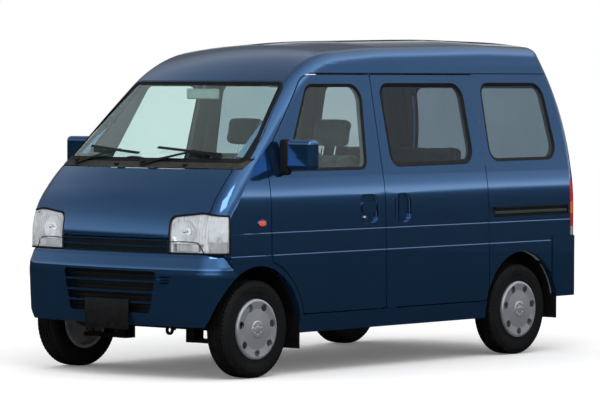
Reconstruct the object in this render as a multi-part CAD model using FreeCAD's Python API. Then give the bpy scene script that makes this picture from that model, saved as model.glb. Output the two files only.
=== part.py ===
import FreeCAD, Part
import math
import os

from FreeCAD import Vector as V

# A kei van: a one-box body with two hinged front doors, two sliding rear doors, a short front lid and a
# tailgate. Millimetres. +X is forward, +Y is the vehicle's left and +Z is up. The origin is on the ground
# under the middle of the vehicle.

os.makedirs("parts", exist_ok=True)

# Overall sizes
LENGTH = 3395.0
WIDTH = 1475.0
HEIGHT = 1870.0
FRONT_AXLE_X = 1267.5
WHEELBASE = 2350.0
REAR_AXLE_X = FRONT_AXLE_X - WHEELBASE
TRACK = 1290.0

# Wheels
TYRE_RADIUS = 268.0
TYRE_WIDTH = 145.0
BEAD_RADIUS = 156.0
RIM_RADIUS = 166.0
RIM_THICKNESS = 8.0
COVER_HOLES = 7
COVER_HOLE_RADIUS = 21.0
COVER_HOLE_CIRCLE = 130.0
HUB_RADIUS = 28.0
RUNNING_CLEARANCE = 0.05
KINGPIN_Y = 545.0
ARCH_RADIUS = 345.0
FENDER_LIP = 30.0

# Walls, gaps and glass
WALL = 38.0
DOOR_STEP_DEPTH = 10.0
DOOR_STEP = 9.0
DOOR_ROOM = 6.0
SHUT_GAP = 6.0
SEAM = 0.4
GLASS_INSET = 6.0
GLASS_CLEARANCE = 0.4
GLASS_FLANGE = 12.0
CORNER_RADIUS = 90.0
BAND = 8.0
BAND_STEP = 4.0
BUMPER_PROUD = 7.5
REAR_BUMPER_BOTTOM = 330.0
REAR_BUMPER_TOP = 690.0

# Heights
SILL_BOTTOM = 232.0
DOOR_BOTTOM = 338.0
DOOR_TOP = 1655.0
GUTTER_Z = 1661.0
GUTTER_HEIGHT = 6.0
ROOF_SEAM_Z = 1716.0
GUTTER_DEPTH = 4.0
BELT_Z = 980.0
LOWER_BAND_TOP = 671.0
UPPER_BAND_TOP = 793.0
LAMP_BOTTOM = 686.0
BUMPER_TOP = 682.0
LID_BOTTOM = 766.0
COWL_Z = 1138.0
COWL_TOP = 1174.0
COWL_TRAY_X = 1335.0
DASH_STEP_X = 1322.0
FLOOR_Z = 540.0
FOOTWELL_Z = 420.0
FLOOR_THICKNESS = 22.0

# Lengthwise places
NOSE_X = 1655.0
TAIL_X = -1690.0
DOOR_FRONT_X = 1157.0
B_LINE_X = 178.0
C_LINE_X = -773.0
LAMP_BACK_X = 1500.0
REAR_BUMPER_X = -1395.0
TAIL_LAMP_X = -1576.0

# Floor, rails and axles
SEAT_FRONT_X = 830.0
SEAT_BACK_X = 250.0
SEAT_DECK_Z = 700.0
ENGINE_BACK_X = 270.0
HOUSE_WALL = 6.0
HOUSE_INNER_Y = 408.0
RAIL_Y = 345.0
RAIL_WIDTH = 50.0
RAIL_Z = 330.0
REAR_ARCH_X = REAR_AXLE_X - 10.0
SPRING_BACK_X = -1488.0
SPRING_FRONT_X = -620.0
KINGPIN_RADIUS = 10.0
SPINDLE_RADIUS = HUB_RADIUS - RUNNING_CLEARANCE
HUB_TIP = 700.0
CROSS_MEMBERS = (
    (-1560.0, FLOOR_Z), (-620.0, FLOOR_Z), (180.0, FLOOR_Z), (860.0, FOOTWELL_Z), (1530.0, FOOTWELL_Z),
)
TOW_EYE_RADIUS = 14.0
TOW_EYE_Y = 370.0
TOW_EYE_Z = 266.0
TOW_EYE_THICKNESS = 12.0
TOW_EYE_PLACES = (1590.0, -1585.0)

# Doors, hinges and grille
HANDLE_DEPTH = 16.0
RAIL_SLOT_DEPTH = 14.0
PILLAR_BACK = 26.0
PILLAR_HALF = 38.0
HINGE_EYE = 24.0
HINGE_LUG = 8.0
HINGE_ROOM = 1.0
GATE_HINGE_Y = 150.0
LID_HINGE_Y = 120.0
DOOR_HINGE_HEIGHTS = (690.0, 762.0)
FIN_PITCH = 24.0
FIN_HEIGHT = 12.0
FIN_DEPTH = 12.0

# Seats and steering wheel
FRONT_SEAT_X = 330.0
FRONT_SEAT_Y = 330.0
FRONT_SEAT_WIDTH = 500.0
FRONT_CUSHION_HEIGHT = 140.0
REAR_SEAT_X = -620.0
REAR_SEAT_WIDTH = 1120.0
REAR_CUSHION_HEIGHT = 240.0
CUSHION_LENGTH = 480.0
CUSHION_ROUNDING = 32.0
SEAT_BACK_THICKNESS = 120.0
SEAT_BACK_HEIGHT = 560.0
SEAT_RECLINE = 14.0
REST_GAP = 0.3
DASH_LEG_Y = 391.0
DASH_LEG_THICKNESS = 11.0
WHEEL_RADIUS = 180.0
WHEEL_GRIP_RADIUS = 14.0
WHEEL_Y = -330.0
WHEEL_TILT = 48.0

# The body seen from the side, from under the nose up and over to the tail: x, z, corner radius
NOSE_AND_ROOF = [
    (NOSE_X, 0.0, 0.0),
    (NOSE_X, 915.0, 450.0),
    (1465.0, 1140.0, 1000.0),
    (714.5, 1806.5, 840.0),
    (100.0, 1850.0, 4000.0),
    (-900.0, HEIGHT, 6000.0),
    (-2100.0, 1848.0, 0.0),
]
NOSE_CROWN = 3600.0
# The tail from the ground up and over: distance behind the origin, z, corner radius
TAIL = [
    (-TAIL_X, 0.0, 0.0),
    (-TAIL_X, 1474.0, 1200.0),
    (1180.0, 2290.0, 250.0),
    (-2200.0, 2400.0, 0.0),
]
TAIL_CROWN = 9000.0
# Half of the body's section, from the ground up: half-width, z, corner radius
HALF_WIDTH = WIDTH / 2 - BAND
SIDE_SECTION = [
    (HALF_WIDTH - 30.0, 100.0, 0.0),
    (HALF_WIDTH, 340.0, 300.0),
    (HALF_WIDTH, BELT_Z, 1200.0),
    (597.0, 1690.0, 2000.0),
    (548.0, 2000.0, 0.0),
]
# The front bumper's section, from the lip up and over: distance from its outermost line, z, corner radius
BUMPER_TOP_DROP = 34.0
BUMPER_SHELF_GAP = 1.0
BUMPER_SECTION = [
    (-46.0, 288.0, 0.0),
    (-22.0, 288.0, 5.0),
    (-9.0, 338.0, 60.0),
    (0.0, 560.0, 300.0),
    (-3.0, 606.0, 60.0),
    (-24.0, 668.0, 40.0),
    (-BUMPER_TOP_DROP, BUMPER_TOP, 14.0),
    (BUMPER_SHELF_GAP - (LENGTH / 2 - NOSE_X), BUMPER_TOP, 0.0),
]
BUMPER_CORNER = 150.0
BUMPER_WALL = 12.0
BUMPER_SIDE = [
    (1380.0, 200.0, 0.0),
    (2000.0, 200.0, 0.0),
    (2000.0, BUMPER_TOP, 0.0),
    (1524.0, BUMPER_TOP, 0.0),
    (1463.0, 583.0, 12.0),
    (1380.0, 545.0, 0.0),
]

# Outlines on the left side: x, z, corner radius
FRONT_DOOR = [
    (B_LINE_X + SHUT_GAP / 2, DOOR_BOTTOM, 12.0),
    (DOOR_FRONT_X, DOOR_BOTTOM, 12.0),
    (DOOR_FRONT_X, 1210.0, 130.0),
    (755.0, DOOR_TOP, 150.0),
    (B_LINE_X + SHUT_GAP / 2, DOOR_TOP, 12.0),
]
SLIDING_DOOR = [
    (C_LINE_X + SHUT_GAP / 2, DOOR_BOTTOM, 12.0),
    (B_LINE_X - SHUT_GAP / 2, DOOR_BOTTOM, 12.0),
    (B_LINE_X - SHUT_GAP / 2, DOOR_TOP, 12.0),
    (C_LINE_X + SHUT_GAP / 2, DOOR_TOP, 12.0),
]
FRONT_WINDOW = [
    (310.0, 1122.0, 60.0),
    (1012.0, 1122.0, 35.0),
    (742.0, 1603.0, 80.0),
    (264.0, 1603.0, 95.0),
]
SLIDING_WINDOW = [
    (-675.0, 1138.0, 95.0),
    (92.0, 1132.0, 80.0),
    (110.0, 1607.0, 70.0),
    (-652.0, 1607.0, 100.0),
]
QUARTER_WINDOW = [
    (-1494.0, 1152.0, 95.0),
    (-826.0, 1148.0, 80.0),
    (-824.0, 1609.0, 70.0),
    (-1428.0, 1609.0, 110.0),
]
RAIL_SLOT = [(-1552.0, 822.0, 3.0), (C_LINE_X, 822.0, 0.0), (C_LINE_X, 880.0, 0.0), (-1552.0, 880.0, 3.0)]

# Outlines on the nose and the tail, the half on the left: half-width, z, corner radius
WINDSCREEN = [(686.0, COWL_TOP, 30.0), (562.0, 1616.0, 60.0)]
LID = [
    (396.0, LID_BOTTOM, 8.0),
    (396.0, 889.0, 40.0),
    (600.0, 911.0, 100.0),
    (640.0, 906.6, 12.0),
    (640.0, COWL_Z, 15.0),
]
TAILGATE = [(596.0, 698.0, 25.0), (606.0, 1060.0, 300.0), (528.0, 1786.0, 70.0)]
TAIL_WINDOW = [(566.0, 1110.0, 70.0), (500.0, 1600.0, 90.0)]
HEADLAMP = [
    (402.0, LAMP_BOTTOM, 10.0),
    (800.0, LAMP_BOTTOM, 10.0),
    (800.0, 884.0, 10.0),
    (600.0, 906.0, 120.0),
    (402.0, 884.0, 45.0),
]
TAIL_LAMP = [(612.0, 694.0, 10.0), (800.0, 694.0, 10.0), (800.0, 1020.0, 10.0), (618.0, 1020.0, 25.0)]
BUMPER_MOUTH = [(300.0, 357.0, 20.0), (350.0, 586.0, 20.0)]
MOUTH_BARS = (414.0, 471.0, 529.0)
MOUTH_BAR_HEIGHT = 12.0
UPPER_SLOT = (692.0, 750.0)
UPPER_SLOT_HALF = 392.0
NOSE_PANEL_HALF = 560.0
NOSE_MOUTH_HALF = 320.0


def box(x0, x1, y0, y1, z0, z1):
    return Part.makeBox(x1 - x0, y1 - y0, z1 - z0, V(x0, y0, z0))


def tube_y(x, z, r, y0, y1):
    return Part.makeCylinder(r, y1 - y0, V(x, y0, z), V(0, 1, 0))


def mirrored(shape):
    return shape.mirror(V(0, 0, 0), V(0, 1, 0))


def both(shape):
    return [shape, mirrored(shape)]


def fused(shapes):
    shape = shapes[0].fuse(shapes[1:]) if len(shapes) > 1 else shapes[0]
    return shape.removeSplitter()


def corner(before, at, after, radius):
    """Where a rounded corner's arc starts, its middle, where it ends and its centre."""
    at = V(at[0], at[1], 0)
    to_before = (V(before[0], before[1], 0) - at).normalize()
    to_after = (V(after[0], after[1], 0) - at).normalize()
    half = to_before.getAngle(to_after) / 2
    reach = radius / math.tan(half)
    centre = at + (to_before + to_after).normalize() * (radius / math.sin(half))
    middle = centre + (at - centre).normalize() * radius
    return at + to_before * reach, middle, at + to_after * reach, centre


def moved_in(points, inset, closed):
    """The outline of (u, w, radius) moved to the left of its run, inwards if it runs anticlockwise."""
    count = len(points)
    lines = []
    for k in range(count if closed else count - 1):
        a, b = points[k], points[(k + 1) % count]
        run = V(b[0] - a[0], b[1] - a[1], 0).normalize()
        side = V(-run.y, run.x, 0) * inset
        lines.append((V(a[0], a[1], 0) + side, run, V(b[0], b[1], 0) + side))
    out = []
    for k, (u, w, radius) in enumerate(points):
        if not closed and k == 0:
            p = lines[0][0]
        elif not closed and k == count - 1:
            p = lines[-1][2]
        else:
            (a, d, _), (b, e, _) = lines[k - 1], lines[k % len(lines)]
            turn = d.x * e.y - d.y * e.x
            p = a + d * (((b.x - a.x) * e.y - (b.y - a.y) * e.x) / turn)
            radius = max(radius - inset * (1 if turn > 0 else -1), 1.0) if radius else 0.0
        out.append((p.x, p.y, radius))
    return out


def rounded_path(points):
    """The lines and tangent arcs of an open outline of (u, w, radius)."""
    pieces, start = [], V(points[0][0], points[0][1], 0)
    for before, at, after in zip(points, points[1:], points[2:]):
        p, middle, q, centre = corner(before, at, after, at[2])
        pieces.append(("line", start, p))
        pieces.append(("arc", p, q, centre))
        start = q
    pieces.append(("line", start, V(points[-1][0], points[-1][1], 0)))
    return pieces


def crown_solid(points, crown, half):
    """The solid under a crowned sheet along a path of (x, z, radius) from the ground up and over."""
    def crown_arc(p, out):
        sag = math.sqrt(crown ** 2 - half ** 2)
        centre = p - out * crown
        tips = [centre + out * sag + V(0, s * half, 0) for s in (-1, 1)]
        return Part.Arc(tips[0], centre + out * crown, tips[1]).toShape(), tips

    def face(edges):
        return Part.Face(Part.Wire(Part.__sortEdges__(edges)))

    sheets, ends = [], []
    pieces = rounded_path(points)
    for k, piece in enumerate(pieces):
        p, q = V(piece[1].x, 0, piece[1].y), V(piece[2].x, 0, piece[2].y)
        if piece[0] == "line":
            along = (q - p).normalize()
        else:
            centre = V(piece[3].x, 0, piece[3].y)
            turn = math.degrees(math.atan2((p - centre).cross(q - centre).y, (p - centre).dot(q - centre)))
            along = V(0, math.copysign(1, turn), 0).cross(p - centre).normalize()
        out = V(0, 1, 0).cross(along)
        edge, tips = crown_arc(p, out)
        sheets.append(edge.extrude(q - p) if piece[0] == "line" else edge.revolve(centre, V(0, 1, 0), turn))
        if k == 0:
            ends.append((edge, out, tips))
    end_arc, end_tips = crown_arc(q, out)
    ends.append((end_arc, out, end_tips))
    (_, out0, tips0), (_, out1, tips1) = ends
    rise_x, rise_z = tips1[0].x - tips0[0].x, tips1[0].z - tips0[0].z
    reach = (rise_x * out1.z - rise_z * out1.x) / (out0.z * out1.x - out0.x * out1.z)
    meet = [t - out0 * reach for t in tips0]
    caps = [
        face([e, Part.makeLine(t[0], meet[0]), Part.makeLine(meet[0], meet[1]), Part.makeLine(meet[1], t[1])])
        for e, _, t in ends
    ]
    for k, side in enumerate((-1, 1)):
        rail = [
            e for sheet in sheets for e in sheet.Edges
            if all(abs(y - side * half) < 1e-4 for y in [e.CenterOfMass.y] + [v.Y for v in e.Vertexes])
        ]
        caps.append(face(rail + [Part.makeLine(tips0[k], meet[k]), Part.makeLine(tips1[k], meet[k])]))
    shell = Part.makeShell(sheets + caps)
    shell.sewShape()
    solid = Part.Solid(shell if shell.ShapeType == "Shell" else shell.Shells[0])
    if solid.Volume < 0:
        solid.reverse()
    return solid


def flat_face(points, place):
    """The face inside a closed outline of (u, w, radius), put in space by place(u, w)."""
    turns = []
    for k, at in enumerate(points):
        radius = at[2]
        if radius:
            p, middle, q, _ = corner(points[k - 1], at, points[(k + 1) % len(points)], radius)
            turns.append((p, middle, q))
        else:
            p = V(at[0], at[1], 0)
            turns.append((p, None, p))
    edges = []
    for k, (p, middle, q) in enumerate(turns):
        after = turns[(k + 1) % len(turns)][0]
        if middle is not None:
            edges.append(Part.Arc(place(p.x, p.y), place(middle.x, middle.y), place(q.x, q.y)).toShape())
        if (after - q).Length > 1e-6:
            edges.append(Part.makeLine(place(q.x, q.y), place(after.x, after.y)))
    return Part.Face(Part.Wire(edges))


def prism(points, axis, low, high):
    """A closed outline of (u, w, radius), extruded along the x or y axis from low to high."""
    if axis == "x":
        return flat_face(points, lambda u, w: V(low, u, w)).extrude(V(high - low, 0, 0))
    return flat_face(points, lambda u, w: V(u, low, w)).extrude(V(0, high - low, 0))


def turned(points, centre, axis, outward, angle=360.0):
    """A closed outline of (radius, place along the axis, corner radius), turned about the axis."""
    outline = flat_face(points, lambda r, a: centre + outward * r + axis * a)
    return outline.revolve(centre, axis, angle)


def two_sided(half_outline):
    """A closed outline from the half of it on the +Y side."""
    return half_outline + [(-u, w, r) for u, w, r in reversed(half_outline)]


def sharp_edges(solid, above, angle=14.0):
    """The edges above a height where two faces meet at more than an angle."""
    found = []
    for edge in solid.Edges:
        middle = edge.valueAt((edge.FirstParameter + edge.LastParameter) / 2)
        if middle.z <= above:
            continue
        normals = []
        for face in solid.ancestorsOfType(edge, Part.Face):
            normals.append(face.normalAt(*face.Surface.parameter(middle)))
        if len(normals) == 2 and math.degrees(normals[0].getAngle(normals[1])) > angle:
            found.append(edge)
    return found


def body(inset, bottom=SILL_BOTTOM):
    """The whole body as one solid, moved in by inset all round, down to a height."""
    nose = crown_solid(moved_in(NOSE_AND_ROOF, inset, False), NOSE_CROWN - inset, 900.0)
    tail = crown_solid(moved_in(TAIL, inset, False), TAIL_CROWN - inset, 900.0).mirror(V(0, 0, 0), V(1, 0, 0))
    half = moved_in(SIDE_SECTION, inset, False)
    section = prism(two_sided(half), "x", -1900.0, 1900.0)
    solid = nose.common(tail).common(section).removeSplitter().Solids[0]
    edges = sharp_edges(solid, 101.0)
    solid = solid.makeFillet(CORNER_RADIUS - inset, edges).Solids[0]
    return solid.cut(box(-3000, 3000, -2000, 2000, -500, bottom)).Solids[0]


BODY = body(0.0)
BEHIND_GLASS = body(GLASS_INSET)
BEHIND_STEP = body(DOOR_STEP_DEPTH)
CABIN = body(WALL, 100.0)
HALF = box(-2000.0, 2000.0, 0.0, 900.0, -10.0, 2000.0)

lower_band = [
    (HALF_WIDTH - 12.0, SILL_BOTTOM, 0.0),
    (HALF_WIDTH - 6.0, SILL_BOTTOM, 0.0),
    (WIDTH / 2, DOOR_BOTTOM, 120.0),
    (WIDTH / 2, LOWER_BAND_TOP - BAND_STEP, 1.0),
    (WIDTH / 2 - BAND_STEP, LOWER_BAND_TOP, 1.0),
    (HALF_WIDTH - 12.0, LOWER_BAND_TOP, 0.0),
]
upper_band = [
    (HALF_WIDTH - 12.0, LOWER_BAND_TOP - 1.0, 0.0),
    (WIDTH / 2 - BAND_STEP, LOWER_BAND_TOP - 1.0, 0.0),
    (WIDTH / 2 - BAND_STEP, UPPER_BAND_TOP - BAND_STEP, 1.0),
    (HALF_WIDTH, UPPER_BAND_TOP, 1.0),
    (HALF_WIDTH - 12.0, UPPER_BAND_TOP, 0.0),
]
bands = fused([
    prism(lower_band, "x", REAR_BUMPER_X + 20.0, LAMP_BACK_X - 1.0),
    prism(upper_band, "x", REAR_BUMPER_X + 20.0, LAMP_BACK_X - 1.0),
    prism(upper_band, "x", TAIL_LAMP_X + 3.0, REAR_BUMPER_X + 25.0).cut(
        box(-1700.0, REAR_BUMPER_X + 19.0, 0.0, 900.0, 0.0, LAMP_BOTTOM + 10.0)),
])
left_body = BODY.common(HALF).fuse(bands).removeSplitter()
left_shell = left_body.cut(CABIN)

front_arch = tube_y(FRONT_AXLE_X, TYRE_RADIUS, ARCH_RADIUS, 380.0, 900.0)
rear_arch = tube_y(REAR_ARCH_X, TYRE_RADIUS, ARCH_RADIUS, 380.0, 900.0)
left_shell = left_shell.cut([front_arch, rear_arch])


def side(points, grow=0.0):
    return prism(moved_in(points, -grow, True), "y", 300.0, 900.0)


def face_on(half_outline, low, high, grow=0.0):
    return prism(moved_in(two_sided(half_outline), -grow, True), "x", low, high)


def window_cut(outline_prism, flange_prism):
    """The pocket that a glass sits in, with a flange left behind it."""
    return [outline_prism.cut(BEHIND_STEP), flange_prism]


def glass(outline_prism):
    return BEHIND_GLASS.cut(BEHIND_STEP).common(outline_prism)


def stepped(panel, inner_outline):
    """A door leaf: its edge steps in behind the outer skin."""
    return panel.cut(BEHIND_STEP.cut(inner_outline))


front_lip = tube_y(FRONT_AXLE_X, TYRE_RADIUS, ARCH_RADIUS + FENDER_LIP, 290.0, 910.0)
front_door_edge = tube_y(FRONT_AXLE_X, TYRE_RADIUS, ARCH_RADIUS + FENDER_LIP + SHUT_GAP, 280.0, 920.0)
rear_door_edge = tube_y(REAR_ARCH_X, TYRE_RADIUS, ARCH_RADIUS + SHUT_GAP, 280.0, 920.0)

front_door = left_shell.common(side(FRONT_DOOR)).cut(front_door_edge)
front_door = stepped(front_door, side(FRONT_DOOR, -DOOR_STEP))
front_door = front_door.cut(window_cut(side(FRONT_WINDOW), side(FRONT_WINDOW, -GLASS_FLANGE)))
front_glass = glass(side(FRONT_WINDOW, -GLASS_CLEARANCE))

sliding_door = left_shell.common(side(SLIDING_DOOR)).cut(rear_door_edge)
sliding_door = stepped(sliding_door, side(SLIDING_DOOR, -DOOR_STEP))
sliding_door = sliding_door.cut(window_cut(side(SLIDING_WINDOW), side(SLIDING_WINDOW, -GLASS_FLANGE)))
sliding_glass = glass(side(SLIDING_WINDOW, -GLASS_CLEARANCE))
quarter_glass = glass(side(QUARTER_WINDOW, -GLASS_CLEARANCE))

# Door handles: a cup pressed into the skin with a bar across it
front_cup = prism([(246.0, 822.0, 30.0), (402.0, 822.0, 30.0), (402.0, 985.0, 45.0), (246.0, 985.0, 45.0)],
                  "y", HALF_WIDTH - HANDLE_DEPTH, 900.0)
front_flap = prism([(262.0, 884.0, 14.0), (386.0, 884.0, 14.0), (386.0, 938.0, 20.0), (262.0, 938.0, 20.0)],
                   "y", HALF_WIDTH - HANDLE_DEPTH - 1.0, HALF_WIDTH + 1.0)
front_door = front_door.cut(front_cup).fuse(front_flap)
slide_cup = prism([(-52.0, 818.0, 45.0), (98.0, 818.0, 45.0), (98.0, 985.0, 60.0), (-52.0, 985.0, 60.0)],
                  "y", HALF_WIDTH - HANDLE_DEPTH, 900.0)
slide_bar = prism([(30.0, 826.0, 10.0), (60.0, 826.0, 10.0), (60.0, 972.0, 14.0), (30.0, 972.0, 14.0)],
                  "y", HALF_WIDTH - HANDLE_DEPTH - 1.0, HALF_WIDTH + 3.0)
sliding_door = sliding_door.cut(slide_cup).fuse(slide_bar)

# The sliding door's roller arm in the rail slot, and its guide foot on the sill
slot_floor = HALF_WIDTH - RAIL_SLOT_DEPTH
roller_arm = box(C_LINE_X - 58.0, C_LINE_X + 12.0, slot_floor, slot_floor + 9.0, 822.0, 848.0)
guide_foot = box(60.0, 120.0, 694.0, 712.0, DOOR_BOTTOM - SHUT_GAP, DOOR_BOTTOM + 12.0)
sliding_door = sliding_door.fuse([roller_arm, guide_foot])

# What the side frame gives way to
fender_place = box(DOOR_FRONT_X + SHUT_GAP, 2000.0, 0.0, 900.0, 0.0, COWL_Z).fuse(front_lip)
AHEAD_OF_PILLARS = [
    (1385.0, 1100.0, 0.0),
    (1900.0, 1100.0, 0.0),
    (1900.0, 1800.0, 0.0),
    (597.0, 1800.0, 0.0),
]
screen_zone = prism(AHEAD_OF_PILLARS, "y", -900.0, 900.0)
screen_place = face_on(WINDSCREEN, 500.0, 2000.0).common(screen_zone)
screen_flange = face_on(WINDSCREEN, 490.0, 2010.0, -GLASS_FLANGE).common(screen_zone)
centre_place = box(600.0, 2000.0, -566.0, 566.0, COWL_Z, ROOF_SEAM_Z)
cowl_place = face_on([(680.0, COWL_Z, 0.0), (686.0, COWL_TOP + 30.0, 0.0)], 1250.0, 2000.0)
gate_place = face_on(TAILGATE, -2000.0, -1200.0, SHUT_GAP)
tail_lamp_place = prism(TAIL_LAMP, "x", -1800.0, TAIL_LAMP_X)
head_lamp_place = prism(HEADLAMP, "x", LAMP_BACK_X, 1800.0)
lid_place = face_on(LID, 1250.0, 2000.0, SHUT_GAP)
bumper_place = prism(BUMPER_SIDE, "y", 300.0, 900.0)

side_frame = left_shell.common(box(-2000.0, 2000.0, 0.0, 900.0, 0.0, ROOF_SEAM_Z))
side_frame = side_frame.cut([
    side(FRONT_DOOR, SHUT_GAP).cut(front_lip), side(SLIDING_DOOR, SHUT_GAP), fender_place, centre_place,
    cowl_place, gate_place, tail_lamp_place,
    box(-2000.0, REAR_BUMPER_X, 0.0, 900.0, 0.0, REAR_BUMPER_BOTTOM + 15.0),
])
side_frame = side_frame.cut(window_cut(screen_place, screen_flange))
side_frame = side_frame.cut(window_cut(side(QUARTER_WINDOW), side(QUARTER_WINDOW, -GLASS_FLANGE)))
gutter = box(-1486.0, 700.0, 0.0, 900.0, GUTTER_Z, GUTTER_Z + GUTTER_HEIGHT).cut(body(GUTTER_DEPTH))
rail_slot = prism(RAIL_SLOT, "y", HALF_WIDTH - RAIL_SLOT_DEPTH, 900.0)
side_frame = side_frame.cut([gutter, rail_slot])

# The pillar behind the shut line between the doors, and its feet on the sill and the roof rail
pillar_ring = CABIN.cut(body(WALL + DOOR_ROOM + PILLAR_BACK, 90.0))
pillar_place = box(B_LINE_X - PILLAR_HALF, B_LINE_X + PILLAR_HALF, 300.0, 900.0, 250.0, ROOF_SEAM_Z)
pillar = pillar_ring.common(pillar_place)
behind_doors = body(WALL + DOOR_ROOM, 90.0)
door_height = box(0.0, 400.0, 300.0, 900.0, DOOR_BOTTOM - SHUT_GAP, DOOR_TOP + SHUT_GAP)
pillar = pillar.cut(door_height.cut(behind_doors))
side_frame = side_frame.fuse(pillar)

fender = left_shell.common(fender_place).cut([lid_place, head_lamp_place, bumper_place])
fender = fender.common(box(0.0, 2000.0, NOSE_PANEL_HALF + 15.0, 900.0, 0.0, 2000.0))
tail_lamp = left_shell.common(prism(moved_in(TAIL_LAMP, SEAM, True), "x", -1800.0, TAIL_LAMP_X - SEAM))
lamp_inside = prism(moved_in(HEADLAMP, SEAM, True), "x", LAMP_BACK_X + SEAM, 1800.0)
lens = BODY.cut(BEHIND_GLASS).common(lamp_inside).common(HALF)


shell = BODY.cut(CABIN)
front_shell = shell.common(box(500.0, 2000.0, -900.0, 900.0, 300.0, 2000.0))
back_shell = shell.common(box(-2000.0, -1100.0, -900.0, 900.0, 300.0, 2000.0))

lid = front_shell.common(face_on(LID, 1250.0, 2000.0))
cowl_low = COWL_Z + SHUT_GAP
cowl_height = box(600.0, 2000.0, -900.0, 900.0, cowl_low, COWL_TOP + GLASS_FLANGE)
cowl_tray = box(COWL_TRAY_X, 1480.0, -640.0, 640.0, cowl_low + 2.0, cowl_low + 12.0).common(CABIN)
cowl = front_shell.common(cowl_place).common(cowl_height).fuse(cowl_tray)
cowl = cowl.cut(screen_place.cut(BEHIND_STEP))
glass_zone = screen_zone.translated(V(GLASS_CLEARANCE, 0, 0))
windscreen = glass(face_on(WINDSCREEN, 600.0, 2000.0, -GLASS_CLEARANCE)).common(glass_zone)

roof_place = box(-2000.0, 2000.0, -900.0, 900.0, ROOF_SEAM_Z, 2000.0)
header_place = box(600.0, 2000.0, -566.0, 566.0, COWL_TOP + GLASS_FLANGE, ROOF_SEAM_Z + 1.0)
roof = shell.common(roof_place.fuse(header_place)).cut([gate_place] + both(side(FRONT_DOOR, SHUT_GAP)))
roof = roof.cut(window_cut(screen_place, screen_flange))

nose_panel = front_shell.common(
    box(1500.0, 2000.0, -NOSE_PANEL_HALF, NOSE_PANEL_HALF, 330.0, LID_BOTTOM + 1.0))
nose_panel = nose_panel.cut([lid_place, head_lamp_place, mirrored(head_lamp_place)])
slot_low, slot_high = UPPER_SLOT
slot_middle = (slot_low + slot_high) / 2
nose_holes = [
    (UPPER_SLOT_HALF, slot_low, slot_middle - 6.0),
    (UPPER_SLOT_HALF, slot_middle + 6.0, slot_high),
    (NOSE_MOUTH_HALF, 357.0, 590.0),
]
nose_panel = nose_panel.cut([box(1500.0, 2000.0, -half, half, low, high) for half, low, high in nose_holes])

tailgate = back_shell.common(face_on(TAILGATE, -2000.0, -1200.0))
tailgate = stepped(tailgate, face_on(TAILGATE, -2100.0, -1100.0, -DOOR_STEP))
tail_window = face_on(TAIL_WINDOW, -2000.0, -1100.0)
tailgate = tailgate.cut(window_cut(tail_window, face_on(TAIL_WINDOW, -2010.0, -1100.0, -GLASS_FLANGE)))
tailgate_glass = glass(face_on(TAIL_WINDOW, -2000.0, -1100.0, -GLASS_CLEARANCE))


# The front bumper: its section runs along the side, round the corner and across the bowed front
bumper_outline = BUMPER_SECTION + moved_in(BUMPER_SECTION, BUMPER_WALL, False)[::-1]
corner_y = WIDTH / 2 - BUMPER_CORNER
bow_centre = V(LENGTH / 2 - NOSE_CROWN, 0, 0)
corner_run = math.sqrt((NOSE_CROWN - BUMPER_CORNER) ** 2 - corner_y ** 2)
corner_centre = V(bow_centre.x + corner_run, corner_y, 0)
bow_angle = math.degrees(math.atan2(corner_y, corner_run))
bow_start = V(math.cos(math.radians(-bow_angle)), math.sin(math.radians(-bow_angle)), 0)
bow_outline = [(NOSE_CROWN + d, z, r) for d, z, r in bumper_outline]
bow = turned(bow_outline, bow_centre, V(0, 0, 1), bow_start, 2 * bow_angle)
corner_start = V(bow_start.x, -bow_start.y, 0)
bend_outline = [(BUMPER_CORNER + d, z, r) for d, z, r in bumper_outline]
bend = turned(bend_outline, corner_centre, V(0, 0, 1), corner_start, 90.0 - bow_angle)
bumper_back = BUMPER_SIDE[0][0]
straight = flat_face(bumper_outline, lambda d, z: V(bumper_back, WIDTH / 2 + d, z)).extrude(
    V(corner_centre.x - bumper_back, 0, 0))
bumper_end = bend.fuse(straight).common(prism(moved_in(BUMPER_SIDE, SEAM, True), "y", 300.0, 900.0))
bumper_end = bumper_end.cut(front_arch)
mouth = face_on(BUMPER_MOUTH, 1500.0, 2000.0).cut([
    box(1500.0, 2000.0, -400.0, 400.0, z - MOUTH_BAR_HEIGHT / 2, z + MOUTH_BAR_HEIGHT / 2) for z in MOUTH_BARS
])
slits = []
for k in range(3):
    slit_y, slit_z = 372.0 + 4.0 * k, 520.0 + 16.0 * k
    slits.append(box(1500.0, 2000.0, slit_y, slit_y + 62.0, slit_z, slit_z + 8.0))
front_bumper = fused([bow] + both(bumper_end)).cut([mouth] + slits)

rear_bumper = body(-BUMPER_PROUD, REAR_BUMPER_BOTTOM).cut(body(-SEAM, REAR_BUMPER_BOTTOM - 10.0)).common(
    box(-2000.0, REAR_BUMPER_X, -900.0, 900.0, REAR_BUMPER_BOTTOM, REAR_BUMPER_TOP)).cut(both(rear_arch))

# The grille: a black finned insert in each opening of the nose
inserts = [
    box(1500.0, 2000.0, SEAM - half, half - SEAM, low + SEAM, high - SEAM) for half, low, high in nose_holes
]
grille = BEHIND_STEP.cut(CABIN).common(Part.makeCompound(inserts))
grille_front = BODY.cut(body(DOOR_STEP_DEPTH + FIN_DEPTH))
grooves = []
for k in range(9):
    groove_z = 370.0 + FIN_PITCH * k
    grooves.append(box(1500.0, 2000.0, -900.0, 900.0, groove_z, groove_z + FIN_HEIGHT).common(grille_front))
grille = grille.cut(grooves)

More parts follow.
